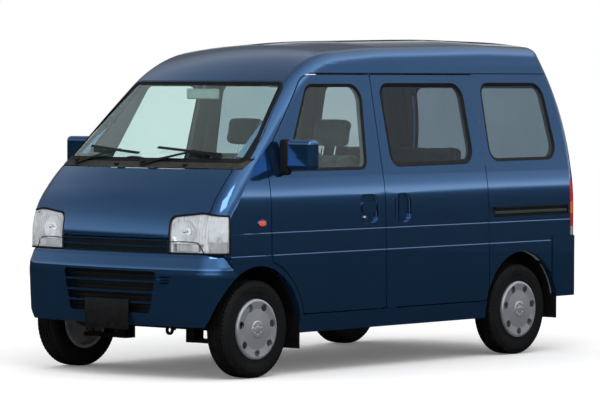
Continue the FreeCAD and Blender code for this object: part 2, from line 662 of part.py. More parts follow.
# The headlamp: a bowl housing behind a clear lens
housing = BEHIND_GLASS.common(lamp_inside).cut(box(1400.0, 1562.0, 0.0, 652.0, 0.0, 2000.0))
bowl = Part.makeSphere(110.0, V(1688.0, 508.0, 806.0))
signal_bowl = prism([(430.0, 694.0, 6.0), (600.0, 694.0, 6.0), (640.0, 738.0, 10.0), (430.0, 738.0, 6.0)],
                    "x", 1590.0, 1800.0)
housing = housing.cut([bowl, signal_bowl])

# Floor, wheel houses, engine cover and the rails under them
cabin_below = CABIN.common(box(-1700.0, 1600.0, -900.0, 900.0, 300.0, 800.0))
wheel_room = [tube_y(FRONT_AXLE_X, TYRE_RADIUS, ARCH_RADIUS, HOUSE_INNER_Y, 900.0),
              tube_y(REAR_ARCH_X, TYRE_RADIUS, ARCH_RADIUS, KINGPIN_Y, 900.0)]
front_house = tube_y(FRONT_AXLE_X, TYRE_RADIUS, ARCH_RADIUS + HOUSE_WALL, HOUSE_INNER_Y - HOUSE_WALL, 900.0)
rear_house = tube_y(REAR_ARCH_X, TYRE_RADIUS, ARCH_RADIUS + HOUSE_WALL, KINGPIN_Y - HOUSE_WALL, 900.0)
houses = front_house.fuse(rear_house).cut(box(-2000.0, 2000.0, 0.0, 900.0, 0.0, TYRE_RADIUS + 40.0))
cargo_floor = box(-1700.0, SEAT_BACK_X, -900.0, 900.0, FLOOR_Z, FLOOR_Z + FLOOR_THICKNESS)
footwell = box(SEAT_FRONT_X, 1600.0, -900.0, 900.0, FOOTWELL_Z, FOOTWELL_Z + FLOOR_THICKNESS)
deck = box(SEAT_BACK_X, SEAT_FRONT_X, -900.0, 900.0, SEAT_DECK_Z, SEAT_DECK_Z + FLOOR_THICKNESS)
deck_top = SEAT_DECK_Z + FLOOR_THICKNESS
deck_back = box(SEAT_BACK_X - FLOOR_THICKNESS, SEAT_BACK_X, -900.0, 900.0, FLOOR_Z, deck_top)
deck_front = box(SEAT_FRONT_X, SEAT_FRONT_X + FLOOR_THICKNESS, -900.0, 900.0, FOOTWELL_Z, deck_top)
tail_sill = box(-1700.0, -1620.0, -600.0, 600.0, 400.0, 690.0)
floor_pan = fused([cargo_floor, footwell, deck, deck_back, deck_front, tail_sill] + both(houses))
door_zone = box(C_LINE_X - SHUT_GAP, DOOR_FRONT_X + SHUT_GAP, -900.0, 900.0, 250.0, 900.0)
inner_sill = behind_doors.cut(body(WALL + DOOR_ROOM + 6.0, 90.0)).common(
    box(C_LINE_X - SHUT_GAP, DOOR_FRONT_X, -900.0, 900.0, 300.0, FLOOR_Z + 1.0))
floor_pan = floor_pan.common(cabin_below).cut(door_zone.cut(behind_doors)).fuse(inner_sill).removeSplitter()
floor_pan = floor_pan.cut(wheel_room + [mirrored(w) for w in wheel_room] + both(side_frame))

rails = both(box(-1600.0, 1560.0, RAIL_Y, RAIL_Y + RAIL_WIDTH, RAIL_Z, FOOTWELL_Z))
rail_outside = RAIL_Y + RAIL_WIDTH
members = []
for x, top in CROSS_MEMBERS:
    members.append(box(x - 30.0, x + 30.0, -rail_outside, rail_outside, RAIL_Z + 40.0, top))
tow_eyes = []
eye_low, eye_high = TOW_EYE_Y - TOW_EYE_THICKNESS / 2, TOW_EYE_Y + TOW_EYE_THICKNESS / 2
for eye_x in TOW_EYE_PLACES:
    inboard = eye_x - math.copysign(45.0, eye_x)
    plate = fused([
        tube_y(eye_x, TOW_EYE_Z, 2 * TOW_EYE_RADIUS, eye_low, eye_high),
        box(inboard - 45.0, inboard + 45.0, eye_low, eye_high, 300.0, RAIL_Z + 1.0),
        box(min(eye_x, inboard), max(eye_x, inboard), eye_low, eye_high, TOW_EYE_Z - 4.0, 302.0),
    ])
    tow_eyes.append(plate.cut(tube_y(eye_x, TOW_EYE_Z, TOW_EYE_RADIUS, RAIL_Y - 45.0, RAIL_Y + 105.0)))
chassis = fused(rails + members + tow_eyes)

engine = box(ENGINE_BACK_X, 800.0, -260.0, 250.0, 300.0, 690.0)
fuel_tank = prism([(-560.0, 250.0, 30.0), (100.0, 250.0, 30.0), (100.0, 420.0, 30.0), (-560.0, 420.0, 30.0)],
                  "y", 60.0, RAIL_Y)
muffler = Part.makeCylinder(70.0, 420.0, V(-400.0, -200.0, 330.0), V(1, 0, 0))
tail_pipe = Part.makeCylinder(19.0, 1150.0, V(-1540.0, -200.0, 345.0), V(1, 0, 0))
down_pipe = Part.makeCylinder(19.0, ENGINE_BACK_X - 19.0, V(19.0, -200.0, 340.0), V(1, 0, 0))
exhaust = fused([muffler, tail_pipe, down_pipe])

# Front struts and lower arms, and the rack ahead of them
strut = fused([
    Part.makeCylinder(20.0, 210.0, V(FRONT_AXLE_X, KINGPIN_Y - 5.0, 346.0)),
    Part.makeCylinder(40.0, 70.0, V(FRONT_AXLE_X, KINGPIN_Y - 5.0, 552.0)),
]).cut(floor_pan).Solids[0]
kingpin = Part.makeCylinder(KINGPIN_RADIUS - RUNNING_CLEARANCE, 50.0, V(FRONT_AXLE_X, KINGPIN_Y, 190.0))
arm = fused([
    kingpin,
    box(FRONT_AXLE_X - 30.0, FRONT_AXLE_X + 30.0, 250.0, KINGPIN_Y + 20.0, 176.0, 198.0),
    box(FRONT_AXLE_X - 40.0, FRONT_AXLE_X + 40.0, 230.0, 290.0, 176.0, 300.0),
])
cross_beam = box(FRONT_AXLE_X - 45.0, FRONT_AXLE_X + 45.0, -rail_outside, rail_outside, 280.0, RAIL_Z)
rack = Part.makeCylinder(24.0, 760.0, V(FRONT_AXLE_X - 60.0, -380.0, 262.0), V(0, 1, 0))
front_suspension = fused([cross_beam, rack] + both(arm))
struts = both(strut)

knuckle = fused([
    Part.makeCylinder(24.0, 136.0, V(FRONT_AXLE_X, KINGPIN_Y, 204.0)),
    tube_y(FRONT_AXLE_X, TYRE_RADIUS, 40.0, KINGPIN_Y, 600.0),
    tube_y(FRONT_AXLE_X, TYRE_RADIUS, SPINDLE_RADIUS, 599.0, HUB_TIP),
])
knuckle = knuckle.cut(Part.makeCylinder(KINGPIN_RADIUS, 40.0, V(FRONT_AXLE_X, KINGPIN_Y, 203.0)))
diff = Part.makeSphere(105.0, V(REAR_AXLE_X, 0.0, TYRE_RADIUS))
half_axle = fused([
    tube_y(REAR_AXLE_X, TYRE_RADIUS, 34.0, 0.0, 590.0),
    tube_y(REAR_AXLE_X, TYRE_RADIUS, 95.0, 560.0, 600.0),
    tube_y(REAR_AXLE_X, TYRE_RADIUS, SPINDLE_RADIUS, 599.0, HUB_TIP),
])
spring = fused([
    box(SPRING_BACK_X, SPRING_FRONT_X, RAIL_Y, rail_outside, 302.0, 314.0),
    box(-1320.0, -850.0, RAIL_Y, rail_outside, 290.0, 303.0),
    box(SPRING_BACK_X, SPRING_BACK_X + 20.0, RAIL_Y, rail_outside, 302.0, RAIL_Z),
    box(SPRING_FRONT_X - 20.0, SPRING_FRONT_X, RAIL_Y, rail_outside, 302.0, RAIL_Z),
])
rear_axle = fused([diff] + both(half_axle) + both(spring))
prop_shaft = Part.makeCylinder(30.0, ENGINE_BACK_X - REAR_AXLE_X, V(REAR_AXLE_X, 0.0, 302.0), V(1, 0, 0))
prop_shaft = prop_shaft.cut(rear_axle)

front_mud_flap = box(FRONT_AXLE_X - ARCH_RADIUS, FRONT_AXLE_X - ARCH_RADIUS + 6.0, 585.0, 728.0, 145.0, 345.0)
rear_flap_x = REAR_ARCH_X - ARCH_RADIUS - 4.0
rear_mud_flap = box(rear_flap_x, rear_flap_x + 6.0, 585.0, 728.0, 200.0, 345.0)
mud_flaps = []
for flap in (front_mud_flap, rear_mud_flap):
    flap = flap.cut([fender, floor_pan, side_frame, rear_bumper])
    mud_flaps += both(max(flap.Solids, key=lambda solid: solid.Volume))

# Wheels: tyre, rim and full cover, each outline as radius, place along the axle, corner radius
DROP_RADIUS = BEAD_RADIUS - RIM_THICKNESS
TYRE_SECTION = [
    (BEAD_RADIUS, -56.0, 0.0), (162.0, -60.0, 0.0), (176.0, -66.0, 20.0), (216.0, -TYRE_WIDTH / 2, 60.0),
    (252.0, -66.0, 20.0), (265.0, -54.0, 8.0), (TYRE_RADIUS, -30.0, 0.0), (TYRE_RADIUS, 30.0, 0.0),
    (265.0, 54.0, 8.0), (252.0, 66.0, 20.0), (216.0, TYRE_WIDTH / 2, 60.0), (176.0, 66.0, 20.0),
    (162.0, 60.0, 0.0), (BEAD_RADIUS, 56.0, 0.0),
]
RIM_SECTION = [
    (HUB_RADIUS, -14.0, 0.0), (HUB_RADIUS, 30.0, 0.0), (60.0, 30.0, 4.0), (60.0, 18.0, 4.0),
    (138.0, 8.0, 8.0), (DROP_RADIUS, 20.0, 4.0), (DROP_RADIUS, 67.0, 0.0), (RIM_RADIUS, 67.0, 1.0),
    (RIM_RADIUS, 63.0, 0.0), (BEAD_RADIUS, 56.0, 0.0), (BEAD_RADIUS, -56.0, 0.0), (RIM_RADIUS, -63.0, 0.0),
    (RIM_RADIUS, -67.0, 1.0), (DROP_RADIUS, -67.0, 0.0), (DROP_RADIUS, 0.0, 4.0),
    (138.0, -4.0, 8.0), (60.0, 4.0, 4.0), (60.0, -14.0, 4.0),
]
COVER_SECTION = [
    (0.0, 76.0, 0.0), (40.0, 76.0, 4.0), (48.0, 72.0, 6.0), (112.0, 70.0, 20.0), (152.0, 72.0, 8.0),
    (158.0, 66.0, 0.0), (RIM_RADIUS - 1.0, 66.0, 0.0), (RIM_RADIUS - 1.0, 74.0, 4.0), (154.0, 77.0, 4.0),
    (112.0, 74.0, 20.0), (48.0, 77.0, 6.0), (42.0, 80.0, 6.0), (0.0, 80.0, 0.0),
]


def wheel(x, side_of):
    """A tyre, and its rim with the cover; side_of is 1 on the left and -1 on the right."""
    centre = V(x, side_of * TRACK / 2, TYRE_RADIUS)
    axis = V(0, side_of, 0)
    tyre = turned(TYRE_SECTION, centre, axis, V(0, 0, -1))
    rim = turned(RIM_SECTION, centre, axis, V(0, 0, -1))
    cover = turned(COVER_SECTION, centre, axis, V(0, 0, -1))
    holes = []
    for k in range(COVER_HOLES):
        angle = 2 * math.pi * k / COVER_HOLES
        at = centre + V(math.sin(angle), 0, -math.cos(angle)) * COVER_HOLE_CIRCLE
        holes.append(Part.makeCylinder(COVER_HOLE_RADIUS, 30.0, at + axis * 60.0, axis))
    return tyre, rim.fuse(cover.cut(holes))


# Inside: dashboard, wheel, seats
DASH = [
    (1490.0, 1015.0, 10.0), (DASH_STEP_X, 1015.0, 15.0), (DASH_STEP_X, 1104.0, 12.0),
    (1240.0, 1104.0, 60.0), (1150.0, 1060.0, 40.0), (1130.0, 950.0, 40.0), (1190.0, 800.0, 40.0),
    (1300.0, 720.0, 30.0), (1490.0, 720.0, 10.0),
]
leg_outer = DASH_LEG_Y + DASH_LEG_THICKNESS
dash_leg = box(1300.0, 1360.0, DASH_LEG_Y, leg_outer, FOOTWELL_Z + FLOOR_THICKNESS, 760.0)
dashboard = fused([prism(DASH, "y", -720.0, 720.0).common(behind_doors)] + both(dash_leg))
wheel_centre = V(1000.0, WHEEL_Y, 1060.0)
wheel_axis = V(-math.cos(math.radians(WHEEL_TILT)), 0, math.sin(math.radians(WHEEL_TILT)))
steering_ring = Part.makeTorus(WHEEL_RADIUS, WHEEL_GRIP_RADIUS, wheel_centre, wheel_axis)
steering_boss = Part.makeCylinder(45.0, 36.0, wheel_centre - wheel_axis * 40.0, wheel_axis)
column = Part.makeCylinder(22.0, 200.0, wheel_centre - wheel_axis * 238.0, wheel_axis)
spoke_start = wheel_centre - wheel_axis * 12.0 - V(0, WHEEL_RADIUS - 2.0, 0)
spoke_across = Part.makeCylinder(11.0, 2 * WHEEL_RADIUS - 4.0, spoke_start, V(0, 1, 0))
steering_wheel = fused([steering_ring, steering_boss, column, spoke_across]).cut(dashboard)
steering_wheel = max(steering_wheel.Solids, key=lambda solid: solid.Volume)


def cushion(x0, x1, y0, y1, z0, z1, radius=CUSHION_ROUNDING):
    """A block with all its edges rounded over."""
    block = box(x0, x1, y0, y1, z0, z1)
    return block.makeFillet(radius, block.Edges)


def seat(x, y, floor, cushion_height, width):
    """A seat whose cushion's back lower edge is at x and rests on a floor."""
    y0, y1 = y - width / 2, y + width / 2
    low = floor + REST_GAP
    top = low + cushion_height
    foot = top - 80.0
    back_x = x + 50.0 - SEAT_BACK_THICKNESS
    back = cushion(back_x, x + 50.0, y0 + 10.0, y1 - 10.0, foot, foot + SEAT_BACK_HEIGHT)
    back.rotate(V(x, 0, foot), V(0, -1, 0), SEAT_RECLINE)
    return cushion(x, x + CUSHION_LENGTH, y0, y1, low, top).fuse(back)


front_seats = both(seat(FRONT_SEAT_X, FRONT_SEAT_Y, deck_top, FRONT_CUSHION_HEIGHT, FRONT_SEAT_WIDTH))
rear_seat = [seat(REAR_SEAT_X, 0.0, FLOOR_Z + FLOOR_THICKNESS, REAR_CUSHION_HEIGHT, REAR_SEAT_WIDTH)]

# Hinges: a pin held by two lugs on the fixed piece runs through an eye on the moving piece
DOOR_HINGE = V(DOOR_FRONT_X - 2.0, WIDTH / 2 - 2.0, 0)
GATE_HINGE = V(-1496.0, 0, 1789.0)
LID_HINGE = V(1460.0, 0, COWL_Z + SHUT_GAP / 2)


def hinge(fixed, moving, middle, axis, knuckle_radius, pin_radius, link=0.0):
    """Both pieces with one hinge added; link is how far the lugs reach along X to a fixed piece."""
    def rod(radius, start, end):
        return Part.makeCylinder(radius, end - start, middle + axis * start, axis)

    near, far = HINGE_EYE / 2, HINGE_EYE / 2 + HINGE_ROOM + HINGE_LUG
    spans = [(-far, -near - HINGE_ROOM), (near + HINGE_ROOM, far)]
    lugs = [rod(knuckle_radius, start, end) for start, end in spans]
    fixed = fixed.cut(rod(knuckle_radius + HINGE_ROOM, -near - HINGE_ROOM, near + HINGE_ROOM))
    if link:
        half = knuckle_radius * 0.8
        lugs += [
            box(middle.x, middle.x + link, middle.y - half, middle.y + half, middle.z + start, middle.z + end)
            for start, end in spans
        ]
    fixed = fixed.fuse(lugs + [rod(pin_radius, -far, far)])
    rooms = [rod(knuckle_radius + HINGE_ROOM, start - HINGE_ROOM, end + HINGE_ROOM) for start, end in spans]
    moving = moving.cut(rooms).fuse(rod(knuckle_radius, -near, near))
    moving = moving.cut(rod(pin_radius + RUNNING_CLEARANCE, -far, far))
    return fixed, moving


for y in (-GATE_HINGE_Y, GATE_HINGE_Y):
    roof, tailgate = hinge(roof, tailgate, GATE_HINGE + V(0, y, 0), V(0, 1, 0), 9.0, 3.0)
for y in (-LID_HINGE_Y, LID_HINGE_Y):
    cowl, lid = hinge(cowl, lid, LID_HINGE + V(0, y, 0), V(0, 1, 0), 7.0, 3.0)
for z in DOOR_HINGE_HEIGHTS:
    fender, front_door = hinge(fender, front_door, DOOR_HINGE + V(0, 0, z), V(0, 0, 1), 5.0, 2.0, 10.0)

# Door mirror: arm and head
mirror_head = cushion(985.0, 1075.0, 752.0, 930.0, 1135.0, 1300.0, 26.0)
mirror_arm = box(1010.0, 1050.0, 690.0, 780.0, 1150.0, 1200.0)
mirror = mirror_head.fuse(mirror_arm).cut(BODY)

# Wipers: two arms from pivots on the cowl, and their blades, all following the bowed glass
WIPERS = [
    [(500.0, 1214.0), (60.0, 1246.0), (62.0, 1258.0), (502.0, 1226.0)],
    [(16.0, 1156.0), (40.0, 1156.0), (150.0, 1188.0), (330.0, 1232.0), (326.0, 1242.0), (146.0, 1200.0),
     (16.0, 1178.0)],
]
wiper_layer = body(-12.0, 900.0).cut(BODY)
wiper_pieces = []
for shift in (0.0, -560.0):
    strips = [prism([(y + shift, z, 0.0) for y, z in outline[::-1]], "x", 900.0, 1800.0) for outline in WIPERS]
    wiper_pieces.append(wiper_layer.common(fused(strips)))

NODES = {
    "floor_pan": [floor_pan],
    "chassis_frame": [chassis],
    "side_frame_left": [side_frame],
    "side_frame_right": [mirrored(side_frame)],
    "roof": [roof],
    "nose_panel": [nose_panel],
    "front_fenders": both(fender),
    "cowl": [cowl],
    "windscreen": [windscreen],
    "front_bumper": [front_bumper],
    "front_grille": [grille],
    "headlamps": both(housing),
    "headlamp_lenses": both(lens),
    "rear_bumper": [rear_bumper],
    "tail_lamps": both(tail_lamp),
    "sliding_door_left": [sliding_door],
    "sliding_door_right": [mirrored(sliding_door)],
    "sliding_door_glass": both(sliding_glass),
    "quarter_glass": both(quarter_glass),
    "dashboard": [dashboard],
    "steering_wheel": [steering_wheel],
    "front_seats": front_seats,
    "rear_seat": rear_seat,
    "engine": [engine],
    "fuel_tank": [fuel_tank],
    "exhaust": [exhaust],
    "front_suspension": [front_suspension],
    "struts": struts,
    "rear_axle": [rear_axle],
    "prop_shaft": [prop_shaft],
    "mud_flaps": mud_flaps,
    "wipers": wiper_pieces,
    "front_door_left": [front_door],
    "front_door_right": [mirrored(front_door)],
    "front_door_glass_left": [front_glass],
    "front_door_glass_right": [mirrored(front_glass)],
    "mirror_left": [mirror],
    "mirror_right": [mirrored(mirror)],
    "tailgate": [tailgate],
    "tailgate_glass": [tailgate_glass],
    "lid": [lid],
    "knuckle_left": [knuckle],
    "knuckle_right": [mirrored(knuckle)],
}
for place, axle_x, side_of in (
    ("front_left", FRONT_AXLE_X, 1), ("front_right", FRONT_AXLE_X, -1),
    ("rear_left", REAR_AXLE_X, 1), ("rear_right", REAR_AXLE_X, -1),
):
    tyre, rim = wheel(axle_x, side_of)
    NODES["tyre_" + place] = [tyre]
    NODES["wheel_" + place] = [rim]

for node, solids in NODES.items():
    shape = solids[0] if len(solids) == 1 else Part.makeCompound(solids)
    shape.exportStep("parts/" + node + ".step")
    parts = shape.Solids
    if not shape.isValid() or len(parts) != len(solids):
        print(node, "is valid:", shape.isValid(), [round(q.Volume / 1e6, 3) for q in parts])
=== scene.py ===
import math

import bmesh
import bpy
from mathutils import Matrix, Vector
from mathutils.bvhtree import BVHTree


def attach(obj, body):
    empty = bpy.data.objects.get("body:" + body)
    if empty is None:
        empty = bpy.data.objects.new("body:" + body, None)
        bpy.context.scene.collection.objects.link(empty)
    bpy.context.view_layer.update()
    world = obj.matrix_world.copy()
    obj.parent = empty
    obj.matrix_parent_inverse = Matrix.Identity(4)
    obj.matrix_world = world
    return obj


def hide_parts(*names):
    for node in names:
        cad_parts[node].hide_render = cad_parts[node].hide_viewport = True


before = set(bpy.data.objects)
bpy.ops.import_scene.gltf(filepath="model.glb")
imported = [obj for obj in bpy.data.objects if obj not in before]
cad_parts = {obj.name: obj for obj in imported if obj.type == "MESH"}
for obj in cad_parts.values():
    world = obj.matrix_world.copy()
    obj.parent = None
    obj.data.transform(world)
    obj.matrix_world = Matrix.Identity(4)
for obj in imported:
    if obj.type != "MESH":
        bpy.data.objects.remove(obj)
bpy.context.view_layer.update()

# The look of a kei van: paint, glass, lamps, seals, seats and the studio. Metres; +X forward, +Y the
# vehicle's left, +Z up.

# Places on the vehicle
MIDDLE = Vector((0.0, 0.0, 1.0))
AXLES = {"front": 1.2675, "rear": -1.0825}
HALF_TRACK = 0.645
TYRE_RADIUS = 0.268
NOSE_TIP_X = 1.6975
SIDE_Y = 0.7295
HANDLE_FLOOR_Y = 0.7135
CABIN_WALL_Y = 0.700
CABIN_FRONT_X = 1.60
BELT_Z = 1.0
SIDE_LEAN = 0.187
EDGE_DEPTH = 0.013
DOORWAYS = (("X", -1.45, 1.10), ("Z", 0.55, 1.64))
RAIL_BACK_X, RAIL_FRONT_X = -1.550, -0.840
RAIL_LOW_Z, RAIL_HIGH_Z = 0.822, 0.880
RAIL_FLOOR_Y = 0.7155
GUTTER_Z = 1.664
GUTTER_BACK_X, GUTTER_FRONT_X = -1.478, 0.690
MIRROR_LOW = Vector((0.985, 0.752, 1.135))
MIRROR_HIGH = Vector((1.075, 0.930, 1.300))
DECK_Z = 0.7223
REAR_FLOOR_Z = 0.5623
SEAT_RECLINE = math.radians(14.0)

# The camera that took the photograph
CAMERA_PLACE = Vector((15.9914, 13.7081, 1.6373))
CAMERA_YAW = math.radians(40.74)
CAMERA_PITCH = math.radians(-1.936)
CAMERA_ROLL = math.radians(0.116)
CAMERA_LENS = 216.7


class Look:
    """One procedural material under construction."""

    def __init__(self, name, **values):
        self.material = bpy.data.materials.new(name)
        self.material.use_nodes = True
        self.tree = self.material.node_tree
        self.shader = self.tree.nodes["Principled BSDF"]
        for socket, value in values.items():
            self.shader.inputs[socket.replace("_", " ")].default_value = value
        self.place = self.node("ShaderNodeTexCoord").outputs["Object"]

    def node(self, kind, **values):
        made = self.tree.nodes.new(kind)
        for key, value in values.items():
            name = key.replace("_", " ")
            if name in made.inputs:
                made.inputs[name].default_value = value
            else:
                setattr(made, key, value)
        return made

    def link(self, source, target):
        self.tree.links.new(source, target)

    def texture(self, kind, output, **values):
        made = self.node("ShaderNodeTex" + kind, **values)
        self.link(self.place, made.inputs["Vector"])
        return made.outputs[output]

    def noise(self, scale, detail=4.0):
        return self.texture("Noise", "Fac", Scale=scale, Detail=detail)

    def ramp(self, source, low, high, start=0.0, end=1.0):
        made = self.node("ShaderNodeValToRGB")
        made.color_ramp.elements[0].position = start
        made.color_ramp.elements[1].position = end
        made.color_ramp.elements[0].color = (*low, 1.0)
        made.color_ramp.elements[1].color = (*high, 1.0)
        self.link(source, made.inputs["Fac"])
        return made.outputs["Color"]

    def steps(self, source, edges):
        """A ramp of plain bands; edges is a list of (position, colour)."""
        made = self.node("ShaderNodeValToRGB")
        made.color_ramp.interpolation = "CONSTANT"
        while len(made.color_ramp.elements) < len(edges):
            made.color_ramp.elements.new(0.5)
        for element, (position, shade) in zip(made.color_ramp.elements, edges):
            element.position = position
            element.color = (*shade, 1.0)
        self.link(source, made.inputs["Fac"])
        return made.outputs["Color"]

    def base(self, colour):
        self.link(colour, self.shader.inputs["Base Color"])

    def colour(self, scale, low, high, start=0.3, end=0.7):
        """Base colour that drifts between two shades."""
        self.base(self.ramp(self.noise(scale), low, high, start, end))

    def spread(self, source, low, high, start=0.0, end=1.0):
        made = self.node("ShaderNodeMapRange", From_Min=start, From_Max=end, To_Min=low, To_Max=high)
        self.link(source, made.inputs["Value"])
        return made.outputs["Result"]

    def roughness(self, scale, low, high):
        self.link(self.spread(self.noise(scale), low, high, 0.3, 0.7), self.shader.inputs["Roughness"])

    def bump(self, height, strength, distance):
        made = self.node("ShaderNodeBump", Strength=strength, Distance=distance)
        self.link(height, made.inputs["Height"])
        self.link(made.outputs["Normal"], self.shader.inputs["Normal"])

    def math(self, operation, first, second=None):
        made = self.node("ShaderNodeMath", operation=operation)
        for socket, value in zip(made.inputs, (first, second)):
            if isinstance(value, (int, float)):
                socket.default_value = value
            elif value is not None:
                self.link(value, socket)
        return made.outputs["Value"]

    def axis(self, which):
        made = self.node("ShaderNodeSeparateXYZ")
        self.link(self.place, made.inputs["Vector"])
        return made.outputs[which]

    def mix(self, factor, first, second, blend="MIX"):
        made = self.node("ShaderNodeMix", data_type="RGBA", blend_type=blend)
        for socket, value in (("Factor", factor), ("A", first), ("B", second)):
            if isinstance(value, (int, float, tuple)):
                made.inputs[socket].default_value = value
            else:
                self.link(value, made.inputs[socket])
        return made.outputs["Result"]

    def inside(self):
        """1 on the faces that line the cabin, 0 on the outer skin and its edges."""
        geometry = self.node("ShaderNodeNewGeometry")
        away = self.node("ShaderNodeVectorMath", operation="SUBTRACT")
        self.link(self.place, away.inputs[0])
        away.inputs[1].default_value = MIDDLE
        unit = self.node("ShaderNodeVectorMath", operation="NORMALIZE")
        self.link(away.outputs["Vector"], unit.inputs[0])
        facing = self.node("ShaderNodeVectorMath", operation="DOT_PRODUCT")
        self.link(geometry.outputs["True Normal"], facing.inputs[0])
        self.link(unit.outputs["Vector"], facing.inputs[1])
        across = self.math("ABSOLUTE", self.axis("Y"))
        inward = self.math("LESS_THAN", facing.outputs["Value"], -0.35)
        within = self.math("LESS_THAN", across, CABIN_WALL_Y)
        behind = self.math("LESS_THAN", self.axis("X"), CABIN_FRONT_X)
        lining = self.math("MULTIPLY", self.math("MULTIPLY", inward, within), behind)
        sideways = self.math("LESS_THAN", facing.outputs["Value"], 0.62)
        edges = self.math("MULTIPLY", sideways, self.deep_in_a_door(across))
        return self.math("MAXIMUM", lining, edges)

    def deep_in_a_door(self, across):
        """1 well inside the side walls, where door and pillar edges show their lining."""
        over_belt = self.math("MAXIMUM", self.math("SUBTRACT", self.axis("Z"), BELT_Z), 0.0)
        wall = self.math("SUBTRACT", SIDE_Y, self.math("MULTIPLY", over_belt, SIDE_LEAN))
        deep = self.math("GREATER_THAN", self.math("SUBTRACT", wall, across), EDGE_DEPTH)
        for axis, low, high in DOORWAYS:
            deep = self.math("MULTIPLY", deep, self.math("GREATER_THAN", self.axis(axis), low))
            deep = self.math("MULTIPLY", deep, self.math("LESS_THAN", self.axis(axis), high))
        return deep

    def pass_light(self, tint):
        """Lets light reach what is behind this glass: shadow rays go straight through."""
        ray = self.node("ShaderNodeLightPath")
        clear = self.node("ShaderNodeBsdfTransparent")
        self.link(tint, clear.inputs["Color"])
        choose = self.node("ShaderNodeMixShader")
        self.link(ray.outputs["Is Shadow Ray"], choose.inputs["Fac"])
        self.link(self.shader.outputs["BSDF"], choose.inputs[1])
        self.link(clear.outputs["BSDF"], choose.inputs[2])
        self.link(choose.outputs["Shader"], self.tree.nodes["Material Output"].inputs["Surface"])


def paint():
    """Deep blue metallic paint under clear coat outside, grey trim panels inside."""
    look = Look("paint_deep_blue", Metallic=0.92, Coat_Weight=1.0, Coat_Roughness=0.015, Coat_IOR=1.55)
    flake = look.texture("Voronoi", "Distance", Scale=1100.0)
    metal = look.ramp(flake, (0.052, 0.180, 0.385), (0.036, 0.135, 0.305), 0.1, 0.7)
    cloud = look.ramp(look.noise(2.5), (0.92, 0.95, 0.98), (1.0, 1.0, 1.0), 0.3, 0.7)
    tinted = look.mix(1.0, metal, cloud, "MULTIPLY")
    lining = look.ramp(look.noise(260.0), (0.13, 0.135, 0.14), (0.18, 0.185, 0.19), 0.35, 0.65)
    inside = look.inside()
    look.base(look.mix(inside, tinted, lining))
    look.link(look.spread(inside, 0.11, 0.85), look.shader.inputs["Roughness"])
    look.link(look.spread(inside, 0.92, 0.0), look.shader.inputs["Metallic"])
    look.link(look.spread(inside, 1.0, 0.0), look.shader.inputs["Coat Weight"])
    look.bump(look.noise(420.0, 2.0), 0.003, 0.0003)
    return look.material


def clear_glass(name, tint, deep):
    look = Look(name, Transmission_Weight=1.0, Roughness=0.0, IOR=1.45)
    shade = look.ramp(look.noise(1.8), tint, deep, 0.3, 0.7)
    look.base(shade)
    look.pass_light(shade)
    return look.material


def moulded(name, low, high, rough, grain=1400.0, shine=0.25):
    """Grained plastic or rubber."""
    look = Look(name, Specular_IOR_Level=shine)
    look.colour(38.0, low, high)
    look.roughness(55.0, *rough)
    look.bump(look.noise(grain, 2.0), 0.25, 0.0004)
    return look.material


def underbody():
    look = Look("underseal_black", Specular_IOR_Level=0.15)
    look.colour(9.0, (0.002, 0.002, 0.0022), (0.006, 0.0056, 0.0052))
    look.roughness(24.0, 0.70, 0.95)
    look.bump(look.noise(260.0, 6.0), 0.5, 0.0012)
    return look.material


def cast_metal():
    look = Look("cast_iron_grey", Metallic=0.5)
    look.colour(20.0, (0.028, 0.028, 0.030), (0.060, 0.056, 0.052))
    look.roughness(30.0, 0.5, 0.8)
    look.bump(look.noise(500.0, 6.0), 0.4, 0.0006)
    return look.material


def tyre_rubber():
    look = Look("tyre_rubber", Specular_IOR_Level=0.22)
    dust = look.ramp(look.noise(12.0), (0.0020, 0.0022, 0.0024), (0.0060, 0.0060, 0.0058), 0.35, 0.75)
    look.base(dust)
    look.roughness(45.0, 0.55, 0.80)
    look.bump(look.noise(900.0, 3.0), 0.25, 0.0005)
    return look.material


def silver():
    look = Look("wheel_cover_silver", Metallic=0.85, Coat_Weight=0.5, Coat_Roughness=0.12)
    flake = look.texture("Voronoi", "Distance", Scale=1500.0)
    look.base(look.ramp(flake, (0.56, 0.57, 0.59), (0.70, 0.71, 0.73), 0.1, 0.7))
    look.roughness(120.0, 0.28, 0.38)
    look.bump(look.noise(900.0, 2.0), 0.05, 0.0003)
    return look.material


def bright_reflector():
    """Vertical flutes and facets pressed into a bright bowl."""
    look = Look("bright_reflector", Metallic=0.6)
    look.colour(30.0, (0.52, 0.545, 0.58), (0.72, 0.74, 0.77))
    look.roughness(60.0, 0.05, 0.12)
    facets = look.texture("Voronoi", "Distance", Scale=34.0, feature="SMOOTH_F1")
    flutes = look.texture("Wave", "Fac", Scale=17.0, bands_direction="Y", Distortion=0.6)
    look.bump(look.math("ADD", facets, look.math("MULTIPLY", flutes, 0.5)), 0.30, 0.010)
    return look.material


def lamp_lens():
    look = Look("headlamp_lens", Transmission_Weight=0.97, Roughness=0.01, IOR=1.45)
    shade = look.ramp(look.noise(6.0), (0.93, 0.96, 0.97), (0.99, 0.995, 1.0), 0.3, 0.7)
    look.base(shade)
    look.pass_light(shade)
    look.bump(look.texture("Wave", "Fac", Scale=9.0, bands_direction="Y"), 0.03, 0.001)
    return look.material


def ribbed_plastic(name, low, high, ribs):
    """A moulded lens with fine upright ribs."""
    look = Look(name, Coat_Weight=1.0, Coat_Roughness=0.04)
    look.colour(160.0, low, high)
    look.roughness(90.0, 0.18, 0.30)
    look.bump(look.texture("Wave", "Fac", Scale=ribs, bands_direction="Y"), 0.5, 0.0012)
    return look.material


